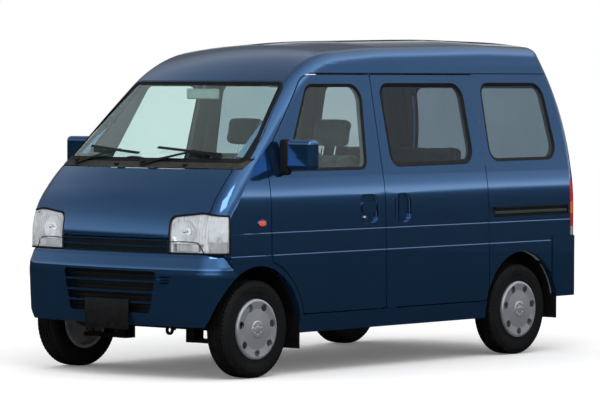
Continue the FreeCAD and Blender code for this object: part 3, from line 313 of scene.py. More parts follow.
def tail_lens():
    """Grey reversing lamp at the foot, then red, amber and red."""
    look = Look("tail_lens", Coat_Weight=1.0, Coat_Roughness=0.03, Roughness=0.2)
    height = look.spread(look.axis("Z"), 0.0, 1.0, 0.694, 1.020)
    bands = look.steps(height, [
        (0.0, (0.30, 0.28, 0.27)), (0.16, (0.40, 0.010, 0.012)), (0.40, (0.66, 0.13, 0.012)),
        (0.62, (0.46, 0.010, 0.014)),
    ])
    speckle = look.ramp(look.noise(300.0), (0.86, 0.86, 0.86), (1.0, 1.0, 1.0), 0.3, 0.7)
    look.base(look.mix(1.0, bands, speckle, "MULTIPLY"))
    look.bump(look.texture("Voronoi", "Distance", Scale=130.0), 0.2, 0.002)
    return look.material


def woven():
    """Seat cloth with a fine diagonal weave and soft sheen."""
    look = Look("seat_cloth", Roughness=0.92, Sheen_Weight=0.3, Sheen_Roughness=0.5)
    weave = look.texture("Wave", "Fac", Scale=190.0, Distortion=1.5, bands_direction="DIAGONAL")
    look.base(look.ramp(weave, (0.040, 0.046, 0.054), (0.080, 0.088, 0.100)))
    look.bump(weave, 0.4, 0.0010)
    return look.material


def bright_metal():
    look = Look("bright_metal", Metallic=1.0)
    look.colour(40.0, (0.72, 0.73, 0.75), (0.86, 0.87, 0.88))
    look.roughness(80.0, 0.06, 0.16)
    return look.material


PAINT = paint()
BLACK = moulded("black_plastic", (0.003, 0.003, 0.0034), (0.008, 0.008, 0.0085), (0.40, 0.55))
COWL_BROWN = moulded("cowl_plastic", (0.026, 0.024, 0.023), (0.042, 0.039, 0.037), (0.50, 0.65))
RUBBER = moulded("black_rubber", (0.003, 0.003, 0.0034), (0.007, 0.007, 0.0075), (0.42, 0.60))
DASH_GREY = moulded("dashboard_grey", (0.060, 0.066, 0.070), (0.090, 0.097, 0.103), (0.60, 0.78), 700.0)
PALE_GREY = moulded("pale_trim", (0.42, 0.45, 0.46), (0.50, 0.53, 0.54), (0.35, 0.5))
RAIL = moulded("rail_grey_green", (0.020, 0.028, 0.025), (0.036, 0.046, 0.041), (0.30, 0.45))
UNDER = underbody()
CAST = cast_metal()
TYRE = tyre_rubber()
SILVER = silver()
BOWL = bright_reflector()
LENS = lamp_lens()
TAIL = tail_lens()
SCREEN = clear_glass("windscreen_glass", (0.74, 0.925, 0.89), (0.77, 0.945, 0.91))
FRONT_SIDE = clear_glass("front_side_glass", (0.76, 0.875, 0.865), (0.80, 0.90, 0.89))
PRIVACY = clear_glass("privacy_glass", (0.31, 0.38, 0.43), (0.36, 0.43, 0.47))
CLOTH = woven()
BRIGHT = bright_metal()
ORANGE = ribbed_plastic("orange_lens", (0.60, 0.050, 0.018), (0.76, 0.10, 0.032), 60.0)
SIGNAL = ribbed_plastic("signal_lens", (0.36, 0.37, 0.39), (0.52, 0.53, 0.55), 60.0)

FINISH = {
    PAINT: [
        "side_frame_left", "side_frame_right", "roof", "nose_panel", "front_fenders", "front_bumper",
        "rear_bumper", "sliding_door_left", "sliding_door_right", "front_door_left", "front_door_right",
        "mirror_left", "mirror_right", "tailgate", "lid",
    ],
    BLACK: ["front_grille", "mud_flaps", "wipers"],
    COWL_BROWN: ["cowl"],
    DASH_GREY: ["dashboard", "steering_wheel"],
    UNDER: [
        "floor_pan", "chassis_frame", "fuel_tank", "exhaust", "front_suspension", "struts", "prop_shaft",
    ],
    CAST: ["engine", "rear_axle", "knuckle_left", "knuckle_right"],
    TYRE: ["tyre_front_left", "tyre_front_right", "tyre_rear_left", "tyre_rear_right"],
    SILVER: ["wheel_front_left", "wheel_front_right", "wheel_rear_left", "wheel_rear_right"],
    BOWL: ["headlamps"],
    LENS: ["headlamp_lenses"],
    TAIL: ["tail_lamps"],
    SCREEN: ["windscreen"],
    FRONT_SIDE: ["front_door_glass_left", "front_door_glass_right"],
    PRIVACY: ["sliding_door_glass", "quarter_glass", "tailgate_glass"],
    CLOTH: ["front_seats", "rear_seat"],
}
for material, nodes in FINISH.items():
    for node in nodes:
        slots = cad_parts[node].data.materials
        slots.clear()
        slots.append(material)


# Building blocks

# Two faces of one pane meet at less than this angle, and a pane has at least this area
CREASE = math.radians(30.0)
LEAST_PANE = 0.015


def piece(name, mesh, body, material):
    """A finished mesh as one piece that rides on a body."""
    made = bpy.data.objects.new(name, mesh)
    bpy.context.scene.collection.objects.link(made)
    made.data.materials.append(material)
    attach(made, body)
    return made


def to_mesh(shape, name, angle=35.0):
    mesh = bpy.data.meshes.new(name)
    shape.to_mesh(mesh)
    shape.free()
    for polygon in mesh.polygons:
        polygon.use_smooth = True
    mesh.set_sharp_from_angle(angle=math.radians(angle))
    return mesh


def block(low, high, bevel, segments=3):
    """A box between two corners with rounded edges, as a bmesh."""
    made = bmesh.new()
    low, high = Vector(low), Vector(high)
    bmesh.ops.create_cube(made, size=1.0)
    bmesh.ops.scale(made, vec=high - low, verts=made.verts)
    bmesh.ops.translate(made, vec=(low + high) / 2, verts=made.verts)
    bmesh.ops.bevel(made, geom=made.edges[:], offset=bevel, segments=segments, profile=0.5, affect="EDGES")
    return made


def lathe(profile, centre, axis, steps=32):
    """A turned solid: profile is a list of (distance along the axis, radius) from one end to the other."""
    made = bmesh.new()
    turn = Vector((0.0, 0.0, 1.0)).rotation_difference(Vector(axis)).to_matrix()
    rings = []
    for along, radius in profile:
        ring = []
        for k in range(steps):
            angle = 2 * math.pi * k / steps
            local = Vector((radius * math.cos(angle), radius * math.sin(angle), along))
            ring.append(made.verts.new(Vector(centre) + turn @ local))
        rings.append(ring)
    for first, second in zip(rings, rings[1:]):
        for k in range(steps):
            after = (k + 1) % steps
            made.faces.new((first[k], first[after], second[after], second[k]))
    made.faces.new(reversed(rings[0]))
    made.faces.new(rings[-1])
    return made


def joined(shapes):
    """Several bmeshes as one."""
    whole = bmesh.new()
    for shape in shapes:
        part = bpy.data.meshes.new("part")
        shape.to_mesh(part)
        shape.free()
        whole.from_mesh(part)
        bpy.data.meshes.remove(part)
    return whole


def tubes(name, loops, radius, body, material, closed=True):
    """Round tubes along lists of points."""
    curve = bpy.data.curves.new(name, "CURVE")
    curve.dimensions = "3D"
    curve.bevel_depth = radius
    curve.bevel_resolution = 3
    curve.use_fill_caps = True
    for points in loops:
        spline = curve.splines.new("POLY")
        spline.points.add(len(points) - 1)
        for point, place in zip(spline.points, points):
            point.co = (*place, 1.0)
        spline.use_cyclic_u = closed
    made = bpy.data.objects.new(name, curve)
    bpy.context.scene.collection.objects.link(made)
    curve.materials.append(material)
    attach(made, body)
    return made


def skin(node):
    """A node's mesh for casting rays at."""
    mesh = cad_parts[node].data
    return BVHTree.FromPolygons([v.co for v in mesh.vertices], [p.vertices for p in mesh.polygons])


def smooth_patches(faces):
    """Groups of faces that meet without a crease."""
    left = {face.index: face for face in faces}
    groups = []
    while left:
        group = [left.popitem()[1]]
        for face in group:
            for edge in face.edges:
                for other in edge.link_faces:
                    if other.index in left and edge.calc_face_angle(math.pi) < CREASE:
                        group.append(left.pop(other.index))
        groups.append(group)
    return groups


def outer_edge(node, thickest):
    """The outline of a pane's outer face: lists of (point, outward normal), the face to the left of its run."""
    shape = bmesh.new()
    shape.from_mesh(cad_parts[node].data)
    bmesh.ops.remove_doubles(shape, verts=shape.verts, dist=1e-6)
    shape.faces.index_update()
    tree = BVHTree.FromBMesh(shape)
    outer = []
    for face in shape.faces:
        centre = face.calc_center_median()
        if face.normal.dot(centre - MIDDLE) <= 0.0:
            continue
        hit = tree.ray_cast(centre - face.normal * 1e-4, -face.normal, 1.0)
        if hit[0] is not None and hit[3] < thickest:
            outer.append(face)
    panes = [group for group in smooth_patches(outer) if sum(f.calc_area() for f in group) > LEAST_PANE]
    outer = [face for group in panes for face in group]
    chosen = {face.index for face in outer}
    after = {}
    for face in outer:
        for loop in face.loops:
            if not any(f.index in chosen for f in loop.edge.link_faces if f is not face):
                after[loop.vert] = (loop.link_loop_next.vert, face.normal.copy())
    loops = []
    while after:
        start, (vert, normal) = after.popitem()
        points = [(start.co.copy(), normal)]
        while vert is not start and vert in after:
            here = vert.co.copy()
            vert, normal = after.pop(vert)
            points.append((here, normal))
        if len(points) > 8:
            loops.append(points)
    shape.free()
    return loops


def beading(name, loops, section, body, material):
    """A moulding along outlines; section is a list of (distance into the pane, height over it)."""
    shape = bmesh.new()
    for loop in loops:
        rows = []
        for k, (point, normal) in enumerate(loop):
            along = (loop[(k + 1) % len(loop)][0] - loop[k - 1][0]).normalized()
            inward = normal.cross(along).normalized()
            rows.append([shape.verts.new(point + inward * d + normal * h) for d, h in section])
        for k, row in enumerate(rows):
            after = rows[(k + 1) % len(rows)]
            for j in range(len(section) - 1):
                shape.faces.new((row[j], after[j], after[j + 1], row[j + 1]))
    bmesh.ops.recalc_face_normals(shape, faces=shape.faces)
    return piece(name, to_mesh(shape, name, 60.0), body, material)


# Rubber round each pane, with a dark printed border on the glass inside it

SEAL_RADIUS = 0.0065
SEAL_SECTION = [(-0.004, 0.000), (0.000, 0.0035), (0.006, 0.0045), (0.012, 0.0030), (0.014, 0.0006)]
BORDER_LIFT = 0.0005
PANES = {
    "windscreen": ("body", 0.030),
    "tailgate_glass": ("tailgate", 0.026),
    "sliding_door_glass": ("body", 0.022),
    "quarter_glass": ("body", 0.018),
    "front_door_glass_left": ("front_door_left", 0.017),
    "front_door_glass_right": ("front_door_right", 0.017),
}
for node, (body, border) in PANES.items():
    edge = outer_edge(node, 0.006)
    tubes("seal_lip_" + node, [[p for p, _ in loop] for loop in edge], SEAL_RADIUS, body, RUBBER)
    section = SEAL_SECTION + [(border, BORDER_LIFT)]
    beading("seal_" + node, edge, section, body, RUBBER)


# Headlamps: black surround, bulb, signal lamp and the line between the two

LAMP_MIDDLE = Vector((1.688, 0.508, 0.806))
LAMP_EDGE = outer_edge("headlamp_lenses", 0.012)
LAMP_SECTION = [(-0.005, 0.0), (-0.002, 0.003), (0.003, 0.003), (0.006, 0.0)]
beading("lamp_surround", LAMP_EDGE, LAMP_SECTION, "body", RUBBER)
SIGNAL_LINE = [(0.408, 0.748), (0.470, 0.750), (0.540, 0.750), (0.588, 0.744), (0.612, 0.722), (0.626, 0.692)]
lens_skin = skin("headlamp_lenses")


def on_lens(y, z):
    hit = lens_skin.ray_cast(Vector((2.0, y, z)), Vector((-1.0, 0.0, 0.0)))
    return hit[0] + Vector((0.001, 0.0, 0.0)) if hit[0] else None


def lamp(side):
    name = "left" if side > 0 else "right"
    line = [on_lens(side * y, z) for y, z in SIGNAL_LINE]
    tubes("lamp_line_" + name, [[p for p in line if p]], 0.0028, "body", RUBBER, closed=False)
    centre = Vector((LAMP_MIDDLE.x - 0.108, side * LAMP_MIDDLE.y, LAMP_MIDDLE.z))
    bulb = lathe(
        [(0.0, 0.019), (0.010, 0.019), (0.012, 0.0095), (0.040, 0.0095), (0.049, 0.0070), (0.054, 0.0015)],
        centre, (1.0, 0.0, 0.0))
    piece("bulb_" + name, to_mesh(bulb, "bulb"), "body", BRIGHT)
    low = Vector((1.600, side * 0.520 - 0.078, 0.697))
    high = Vector((1.612, side * 0.520 + 0.078, 0.736))
    piece("signal_" + name, to_mesh(block(low, high, 0.004), "signal"), "body", SIGNAL)


for side in (1, -1):
    lamp(side)


# Tyres: turned with ribs on the sidewall, grooves round the tread and slots across its shoulders

TYRE_HALF = [
    (0.156, 0.0560), (0.162, 0.0600), (0.166, 0.0625), (0.170, 0.0640), (0.174, 0.0652), (0.178, 0.0662),
    (0.182, 0.0680), (0.185, 0.0682), (0.188, 0.0672), (0.198, 0.0696), (0.210, 0.0711), (0.222, 0.0715),
    (0.230, 0.0706), (0.233, 0.0712), (0.236, 0.0710), (0.239, 0.0690), (0.246, 0.0672), (0.252, 0.0645),
    (0.257, 0.0612), (0.2605, 0.0580),
]
TREAD_HALF_WIDTH = 0.0545
TREAD_STEP = 0.0015
GROOVE_CENTRES = (-0.034, -0.012, 0.012, 0.034)
GROOVE_HALF_WIDTH = 0.0032
GROOVE_DEPTH = 0.0065
PITCHES = 66
STEPS_A_PITCH = 5


def tread_radius(a, step):
    """The tread's radius at a distance across it and at a step round it."""
    crown = TYRE_RADIUS - 0.0028 * (abs(a) / TREAD_HALF_WIDTH) ** 4
    if any(abs(a - c) < GROOVE_HALF_WIDTH for c in GROOVE_CENTRES):
        return crown - GROOVE_DEPTH
    lean = 2 if a > 0 else 0
    if abs(a) > 0.040 and (step + lean) % STEPS_A_PITCH == 0:
        return crown - GROOVE_DEPTH * 0.8
    if 0.015 < abs(a) < 0.031 and (step + lean + 3) % STEPS_A_PITCH == 0:
        return crown - GROOVE_DEPTH * 0.6
    return crown


def tyre(name, centre, body):
    shape = bmesh.new()
    count = PITCHES * STEPS_A_PITCH
    across = [-TREAD_HALF_WIDTH + TREAD_STEP * k for k in range(round(2 * TREAD_HALF_WIDTH / TREAD_STEP) + 1)]
    rings = []
    for step in range(count):
        angle = 2 * math.pi * step / count
        outward = Vector((math.sin(angle), 0.0, -math.cos(angle)))
        section = [(r, -a) for r, a in TYRE_HALF] + [(tread_radius(a, step), a) for a in across]
        section += [(r, a) for r, a in reversed(TYRE_HALF)]
        rings.append([shape.verts.new(centre + outward * r + Vector((0.0, a, 0.0))) for r, a in section])
    for step, ring in enumerate(rings):
        after = rings[(step + 1) % count]
        for k in range(len(ring)):
            other = (k + 1) % len(ring)
            shape.faces.new((ring[k], after[k], after[other], ring[other]))
    bmesh.ops.recalc_face_normals(shape, faces=shape.faces)
    made = piece("dressed_" + name, to_mesh(shape, name, 30.0), body, TYRE)
    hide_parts(name)


def cover_studs(name, centre, side, body):
    """The ring of studs round the cover's middle and the low cap inside it."""
    face = centre + Vector((0.0, side * 0.0795, 0.0))
    shapes = []
    for k in range(7):
        angle = 2 * math.pi * (k + 0.5) / 7
        place = face + Vector((0.031 * math.sin(angle), 0.0, 0.031 * math.cos(angle)))
        shapes.append(lathe([(0.0, 0.0052), (0.0012, 0.0050), (0.0024, 0.0040), (0.0030, 0.0020)], place,
                            (0.0, side, 0.0), 14))
    shapes.append(lathe([(0.0, 0.0215), (0.0010, 0.0210), (0.0016, 0.0195), (0.0018, 0.0100)], face,
                        (0.0, side, 0.0)))
    piece("cover_studs_" + name, to_mesh(joined(shapes), "cover_studs"), body, SILVER)


for row, axle_x in AXLES.items():
    for side, hand in ((1, "left"), (-1, "right")):
        place = row + "_" + hand
        hub = Vector((axle_x, side * HALF_TRACK, TYRE_RADIUS))
        tyre("tyre_" + place, hub, "wheel_" + place)
        cover_studs(place, hub, side, "wheel_" + place)


# Small things outside

PLATE_HALF, PLATE_LOW_Z, PLATE_HIGH_Z = 0.165, 0.264, 0.429
plate_back = NOSE_TIP_X + 0.002
plate = joined([
    block((plate_back, -PLATE_HALF, PLATE_LOW_Z), (plate_back + 0.003, PLATE_HALF, PLATE_HIGH_Z), 0.0012, 2),
    block((plate_back - 0.030, -0.100, 0.300), (plate_back + 0.001, -0.070, 0.312), 0.002, 2),
    block((plate_back - 0.030, 0.070, 0.300), (plate_back + 0.001, 0.100, 0.312), 0.002, 2),
])
piece("plate_front", to_mesh(plate, "plate_front"), "body", BLACK)

REPEATER = Vector((1.2385, 0.7295, 0.845))
REPEATER_STRETCH = 1.8


def oval(profile, at, side):
    """A turned form on the side of the body, stretched along it."""
    made = lathe(profile, at, (0.0, side, 0.0), 40)
    for vertex in made.verts:
        vertex.co.x = at.x + (vertex.co.x - at.x) * REPEATER_STRETCH
    return made


def side_trims(side):
    """What each side carries: repeater, slide rail, gutter strip, lock and mirror glass."""
    hand = "left" if side > 0 else "right"
    at = Vector((REPEATER.x, side * REPEATER.y, REPEATER.z))
    lens = oval([(-0.004, 0.016), (0.003, 0.016), (0.006, 0.014), (0.0075, 0.009), (0.008, 0.002)], at, side)
    piece("repeater_" + hand, to_mesh(lens, "repeater"), "body", ORANGE)
    rim = oval([(-0.004, 0.0225), (0.001, 0.0220), (0.0032, 0.0205), (0.0036, 0.0185), (0.001, 0.0165)], at, side)
    piece("repeater_rim_" + hand, to_mesh(rim, "repeater_rim"), "body", PAINT)

    def across(inner, outer):
        return sorted((side * inner, side * outer))

    back = across(RAIL_FLOOR_Y + 0.0002, RAIL_FLOOR_Y + 0.002)
    lip = across(RAIL_FLOOR_Y + 0.001, RAIL_FLOOR_Y + 0.0105)
    hood = across(RAIL_FLOOR_Y + 0.001, RAIL_FLOOR_Y + 0.0125)
    channel = joined([
        block((RAIL_BACK_X, back[0], RAIL_LOW_Z + 0.001), (RAIL_FRONT_X, back[1], RAIL_HIGH_Z - 0.001), 0.0006, 1),
        block((RAIL_BACK_X, hood[0], RAIL_HIGH_Z - 0.010), (RAIL_FRONT_X, hood[1], RAIL_HIGH_Z - 0.001), 0.002, 2),
        block((RAIL_BACK_X, hood[0], RAIL_LOW_Z + 0.001), (RAIL_FRONT_X, hood[1], RAIL_LOW_Z + 0.006), 0.002, 2),
    ])
    piece("rail_channel_" + hand, to_mesh(channel, "rail_channel"), "body", BLACK)
    runner = block((RAIL_BACK_X + 0.004, lip[0], 0.838), (RAIL_FRONT_X - 0.004, lip[1], 0.856), 0.003, 3)
    piece("rail_runner_" + hand, to_mesh(runner, "rail_runner"), "body", RAIL)

    frame_skin = skin("side_frame_" + hand)
    strip = []
    for k in range(60):
        x = GUTTER_BACK_X + (GUTTER_FRONT_X - GUTTER_BACK_X) * k / 59
        hit = frame_skin.ray_cast(Vector((x, side * 0.9, GUTTER_Z)), Vector((0.0, -side, 0.0)))
        if hit[0] is not None:
            strip.append(hit[0] + Vector((0.0, side * 0.0016, 0.0)))
    tubes("gutter_strip_" + hand, [strip], 0.0028, "body", RUBBER, closed=False)

    lock = lathe([(0.0, 0.0130), (0.0075, 0.0130), (0.0095, 0.0110), (0.0098, 0.0060)],
                 (0.345, side * HANDLE_FLOOR_Y, 0.850), (0.0, side, 0.0))
    slot_face = across(HANDLE_FLOOR_Y + 0.0095, HANDLE_FLOOR_Y + 0.0104)
    slot = block((0.3437, slot_face[0], 0.8445), (0.3463, slot_face[1], 0.8555), 0.0004, 1)
    door = "front_door_" + hand
    piece("door_lock_" + hand, to_mesh(joined([lock, slot]), "door_lock"), door, BRIGHT)

    low = Vector((MIRROR_LOW.x - 0.0015, side * (MIRROR_LOW.y + MIRROR_HIGH.y) / 2 - 0.066, MIRROR_LOW.z + 0.022))
    high = Vector((MIRROR_LOW.x + 0.002, side * (MIRROR_LOW.y + MIRROR_HIGH.y) / 2 + 0.066, MIRROR_HIGH.z - 0.022))
    piece("mirror_glass_" + hand, to_mesh(block(low, high, 0.0012, 2), "mirror_glass"), door, BRIGHT)


def mirror_base(side):
    """The black foot that carries the mirror on the door's front corner."""
    hand = "left" if side > 0 else "right"
    y0, y1 = sorted((side * 0.690, side * 0.757))
    foot = block((1.012, y0, 1.104), (1.064, y1, 1.302), 0.020, 4)
    piece("mirror_base_" + hand, to_mesh(foot, "mirror_base"), "front_door_" + hand, BLACK)


for side in (1, -1):
    side_trims(side)
    mirror_base(side)

# On the cowl: wiper spindles and washer nozzles
body_skin = skin("cowl")
spindles = []
for y in (0.028, -0.532):
    hit = body_skin.ray_cast(Vector((2.0, y, 1.167)), Vector((-1.0, 0.0, 0.0)))
    if hit[0] is not None:
        spindles.append(lathe([(-0.004, 0.015), (0.014, 0.015), (0.019, 0.012), (0.021, 0.006)], hit[0],
                              (0.66, 0.0, 0.75), 20))
piece("wiper_spindles", to_mesh(joined(spindles), "wiper_spindles"), "body", BLACK)
nozzles = []
for y in (0.330, -0.170):
    hit = body_skin.ray_cast(Vector((2.0, y, 1.158)), Vector((-1.0, 0.0, 0.0)))
    if hit[0] is not None:
        low = hit[0] + Vector((-0.010, -0.011, -0.006))
        nozzles.append(block(low, low + Vector((0.026, 0.022, 0.014)), 0.004, 2))
piece("washer_nozzles", to_mesh(joined(nozzles), "washer_nozzles"), "body", BLACK)


# Inside: mirror and instrument hood

header = skin("roof")
mirror_place = Vector((0.915, 0.0, 1.545))
mirror_half = Vector((0.011, 0.120, 0.030))
inner_mirror = block(mirror_place - mirror_half, mirror_place + mirror_half, 0.009, 4)
piece("inner_mirror", to_mesh(inner_mirror, "inner_mirror"), "body", PALE_GREY)
stem_top = header.ray_cast(mirror_place + Vector((-0.045, 0.0, 0.0)), Vector((0.0, 0.0, 1.0)))[0]
tubes("mirror_stem", [[mirror_place, mirror_place + Vector((-0.012, 0.0, 0.045)), stem_top]], 0.007, "body",
      PALE_GREY, closed=False)
hood = block((1.150, -0.500, 1.070), (1.310, -0.160, 1.136), 0.028, 5)
piece("instrument_hood", to_mesh(hood, "instrument_hood"), "body", DASH_GREY)


# Seats: each pad is swollen by a short cloth simulation, then its channels are sewn in

SIM_STEPS = 20
PAD_PRESSURE = 4.0
PAD_CAP = 0.014


def swollen(shape, voxel):
    """A pad's mesh after the cloth has been blown up over it."""
    mesh = bpy.data.meshes.new("pad")
    shape.to_mesh(mesh)
    shape.free()
    pad = bpy.data.objects.new("pad", mesh)
    bpy.context.scene.collection.objects.link(pad)
    remesh = pad.modifiers.new("remesh", "REMESH")
    remesh.mode = "VOXEL"
    remesh.voxel_size = voxel
    graph = bpy.context.evaluated_depsgraph_get()
    even = bpy.data.meshes.new_from_object(pad.evaluated_get(graph))
    pad.modifiers.clear()
    pad.data = even
    start = [v.co.copy() for v in even.vertices]
    cloth = pad.modifiers.new("cloth", "CLOTH")
    cloth.settings.use_pressure = True
    cloth.settings.uniform_pressure_force = PAD_PRESSURE
    cloth.settings.effector_weights.gravity = 0.0
    cloth.settings.quality = 4
    cloth.point_cache.frame_start = 1
    cloth.point_cache.frame_end = SIM_STEPS
    for step in range(1, SIM_STEPS + 1):
        bpy.context.scene.frame_set(step)
    graph = bpy.context.evaluated_depsgraph_get()
    moved = bpy.data.meshes.new_from_object(pad.evaluated_get(graph))
    pad.modifiers.clear()
    for vertex, place, after in zip(even.vertices, start, moved.vertices):
        shift = after.co - place
        if shift.length > PAD_CAP:
            shift *= PAD_CAP / shift.length
        vertex.co = place + shift
    bpy.data.meshes.remove(moved)
    bpy.context.scene.frame_set(1)
    bpy.data.objects.remove(pad)
    return even


def sewn(mesh, lines, depth=0.007, width=0.010):
    """Press channels into a pad; lines are (axis, place) pairs in the pad's own coordinates."""
    normals = [v.normal.copy() for v in mesh.vertices]
    for vertex, normal in zip(mesh.vertices, normals):
        for axis, place in lines:
            reach = (vertex.co[axis] - place) / width
            vertex.co -= normal * depth * math.exp(-reach * reach)


def cushion_shape(size, bevel, crown):
    """A pad centred on the origin, its top raised in the middle."""
    made = block(-Vector(size) / 2, Vector(size) / 2, bevel, 4)
    bmesh.ops.subdivide_edges(made, edges=made.edges[:], cuts=3, use_grid_fill=True)
    for vertex in made.verts:
        if vertex.co.z > 0:
            across = 1.0 - (2 * vertex.co.y / size[1]) ** 2
            along = 1.0 - (2 * vertex.co.x / size[0]) ** 2
            vertex.co.z += crown * max(across, 0.0) * max(along, 0.0)
    return made


def upholster(name, mesh, place, body="body"):
    """One pad of cloth at its place, smoothed by one subdivision."""
    mesh.transform(place)
    made = bpy.data.objects.new(name, mesh)
    bpy.context.scene.collection.objects.link(made)
    made.data.materials.append(CLOTH)
    for polygon in mesh.polygons:
        polygon.use_smooth = True
    subdivide = made.modifiers.new("smooth", "SUBSURF")
    subdivide.levels = 1
    subdivide.render_levels = 1
    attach(made, body)
    return made


def seat_places(x, low, cushion_height, length, back_length):
    """A seat's pivot, and where its cushion and back stand, as matrices from their own coordinates."""
    pivot = Matrix.Translation((x, 0.0, low + cushion_height - 0.080)) @ Matrix.Rotation(-SEAT_RECLINE, 4, "Y")
    cushion = Matrix.Translation((x + length / 2, 0.0, low + cushion_height / 2))
    upright = Matrix.Rotation(math.radians(90.0), 4, "Y")
    back = pivot @ Matrix.Translation((-0.010, 0.0, back_length / 2)) @ upright
    return pivot, cushion, back


def front_seats():
    pivot, cushion_at, back_at = seat_places(0.330, DECK_Z, 0.140, 0.480, 0.450)
    cushion = swollen(cushion_shape((0.455, 0.475, 0.115), 0.030, 0.012), 0.010)
    sewn(cushion, [(1, -0.125), (1, 0.125), (0, -0.040)])
    back = swollen(cushion_shape((0.425, 0.455, 0.092), 0.030, 0.010), 0.010)
    sewn(back, [(1, -0.120), (1, 0.120), (0, 0.060)])
    rest = swollen(cushion_shape((0.150, 0.240, 0.078), 0.028, 0.008), 0.008)
    rest_at = pivot @ Matrix.Translation((-0.012, 0.0, 0.560)) @ Matrix.Rotation(math.radians(90.0), 4, "Y")
    pads = (("cushion", cushion, cushion_at), ("back", back, back_at), ("headrest", rest, rest_at))
    for side, hand in ((1, "left"), (-1, "right")):
        shift = Matrix.Translation((0.0, side * 0.330, 0.0))
        for kind, mesh, place in pads:
            upholster("front_seat_" + kind + "_" + hand, mesh.copy(), shift @ place)
        posts = []
        for y in (-0.045, 0.045):
            posts.append([shift @ pivot @ Vector((-0.012, y, height)) for height in (0.430, 0.520)])
        tubes("headrest_posts_" + hand, posts, 0.005, "body", BRIGHT, closed=False)
    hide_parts("front_seats")


def rear_seat():
    _, cushion_at, back_at = seat_places(-0.620, REAR_FLOOR_Z, 0.240, 0.480, 0.540)
    cushion_at = cushion_at @ Matrix.Translation((0.0, 0.0, 0.045))
    cushion = swollen(cushion_shape((0.455, 1.090, 0.125), 0.030, 0.010), 0.013)
    sewn(cushion, [(1, 0.0), (1, -0.300), (1, 0.300)])
    back = swollen(cushion_shape((0.520, 1.070, 0.092), 0.030, 0.008), 0.013)
    sewn(back, [(1, 0.0), (1, -0.300), (1, 0.300)])
    bench = upholster("rear_bench_cushion", cushion, cushion_at)
    upholster("rear_bench_back", back, back_at)
    base = block((-0.600, -0.520, REAR_FLOOR_Z), (-0.170, 0.520, 0.670), 0.012)
    piece("rear_bench_base", to_mesh(base, "rear_bench_base"), "body", DASH_GREY)
    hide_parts("rear_seat")


front_seats()
rear_seat()


# Studio

FLOOR_LIFT = 0.10


def pale_floor():
    """A wide white disc that keeps soft shadows and reads dark in reflections, as a black table edge does."""
    look = Look("floor_pale", Roughness=1.0, Specular_IOR_Level=0.0)
    look.colour(0.8, (0.985, 0.985, 0.985), (1.0, 1.0, 1.0))
    dark = look.node("ShaderNodeBsdfDiffuse", Color=(0.02, 0.021, 0.024, 1.0))
    ray = look.node("ShaderNodeLightPath")
    lift = look.node("ShaderNodeEmission")
    look.link(look.math("MULTIPLY", ray.outputs["Is Camera Ray"], FLOOR_LIFT), lift.inputs["Strength"])
    lifted = look.node("ShaderNodeAddShader")
    look.link(look.shader.outputs["BSDF"], lifted.inputs[0])
    look.link(lift.outputs["Emission"], lifted.inputs[1])
    choose = look.node("ShaderNodeMixShader")
    mirrored = look.math("SUBTRACT", ray.outputs["Is Glossy Ray"], ray.outputs["Is Transmission Ray"])
    look.link(mirrored, choose.inputs["Fac"])
    look.link(lifted.outputs["Shader"], choose.inputs[1])
    look.link(dark.outputs["BSDF"], choose.inputs[2])
    look.link(choose.outputs["Shader"], look.tree.nodes["Material Output"].inputs["Surface"])
    return look.material


floor_shape = bmesh.new()
bmesh.ops.create_circle(floor_shape, cap_ends=True, segments=96, radius=14.0)
floor = bpy.data.objects.new("floor", to_mesh(floor_shape, "floor"))
bpy.context.scene.collection.objects.link(floor)
floor.data.materials.append(pale_floor())

# What shiny surfaces see, by height: dark to just over the horizon, a bright edge, then a soft sky that is
# brighter on the vehicle's left
SKY = [
    (0.000, (0.020, 0.021, 0.024)), (0.490, (0.026, 0.029, 0.035)), (0.546, (0.040, 0.045, 0.055)),
    (0.553, (0.92, 0.95, 1.00)), (0.572, (0.36, 0.39, 0.44)), (0.600, (0.17, 0.19, 0.22)),
    (0.680, (0.24, 0.26, 0.30)), (0.775, (0.66, 0.70, 0.76)), (0.860, (0.50, 0.53, 0.58)),
    (1.000, (0.36, 0.38, 0.42)),
]
SKY_RIGHT, SKY_LEFT = (-0.3, 0.6), (0.4, 1.7)
# The same ahead of the vehicle, where the bright edge is broad
SKY_AHEAD = [
    (0.000, (0.020, 0.021, 0.024)), (0.490, (0.026, 0.029, 0.035)), (0.535, (0.060, 0.066, 0.080)),
    (0.553, (1.10, 1.16, 1.25)), (0.620, (0.78, 0.84, 0.93)), (0.700, (0.46, 0.50, 0.57)),
    (0.800, (0.33, 0.36, 0.41)), (1.000, (0.33, 0.35, 0.39)),
]
SKY_TURN = (-0.15, 0.35)


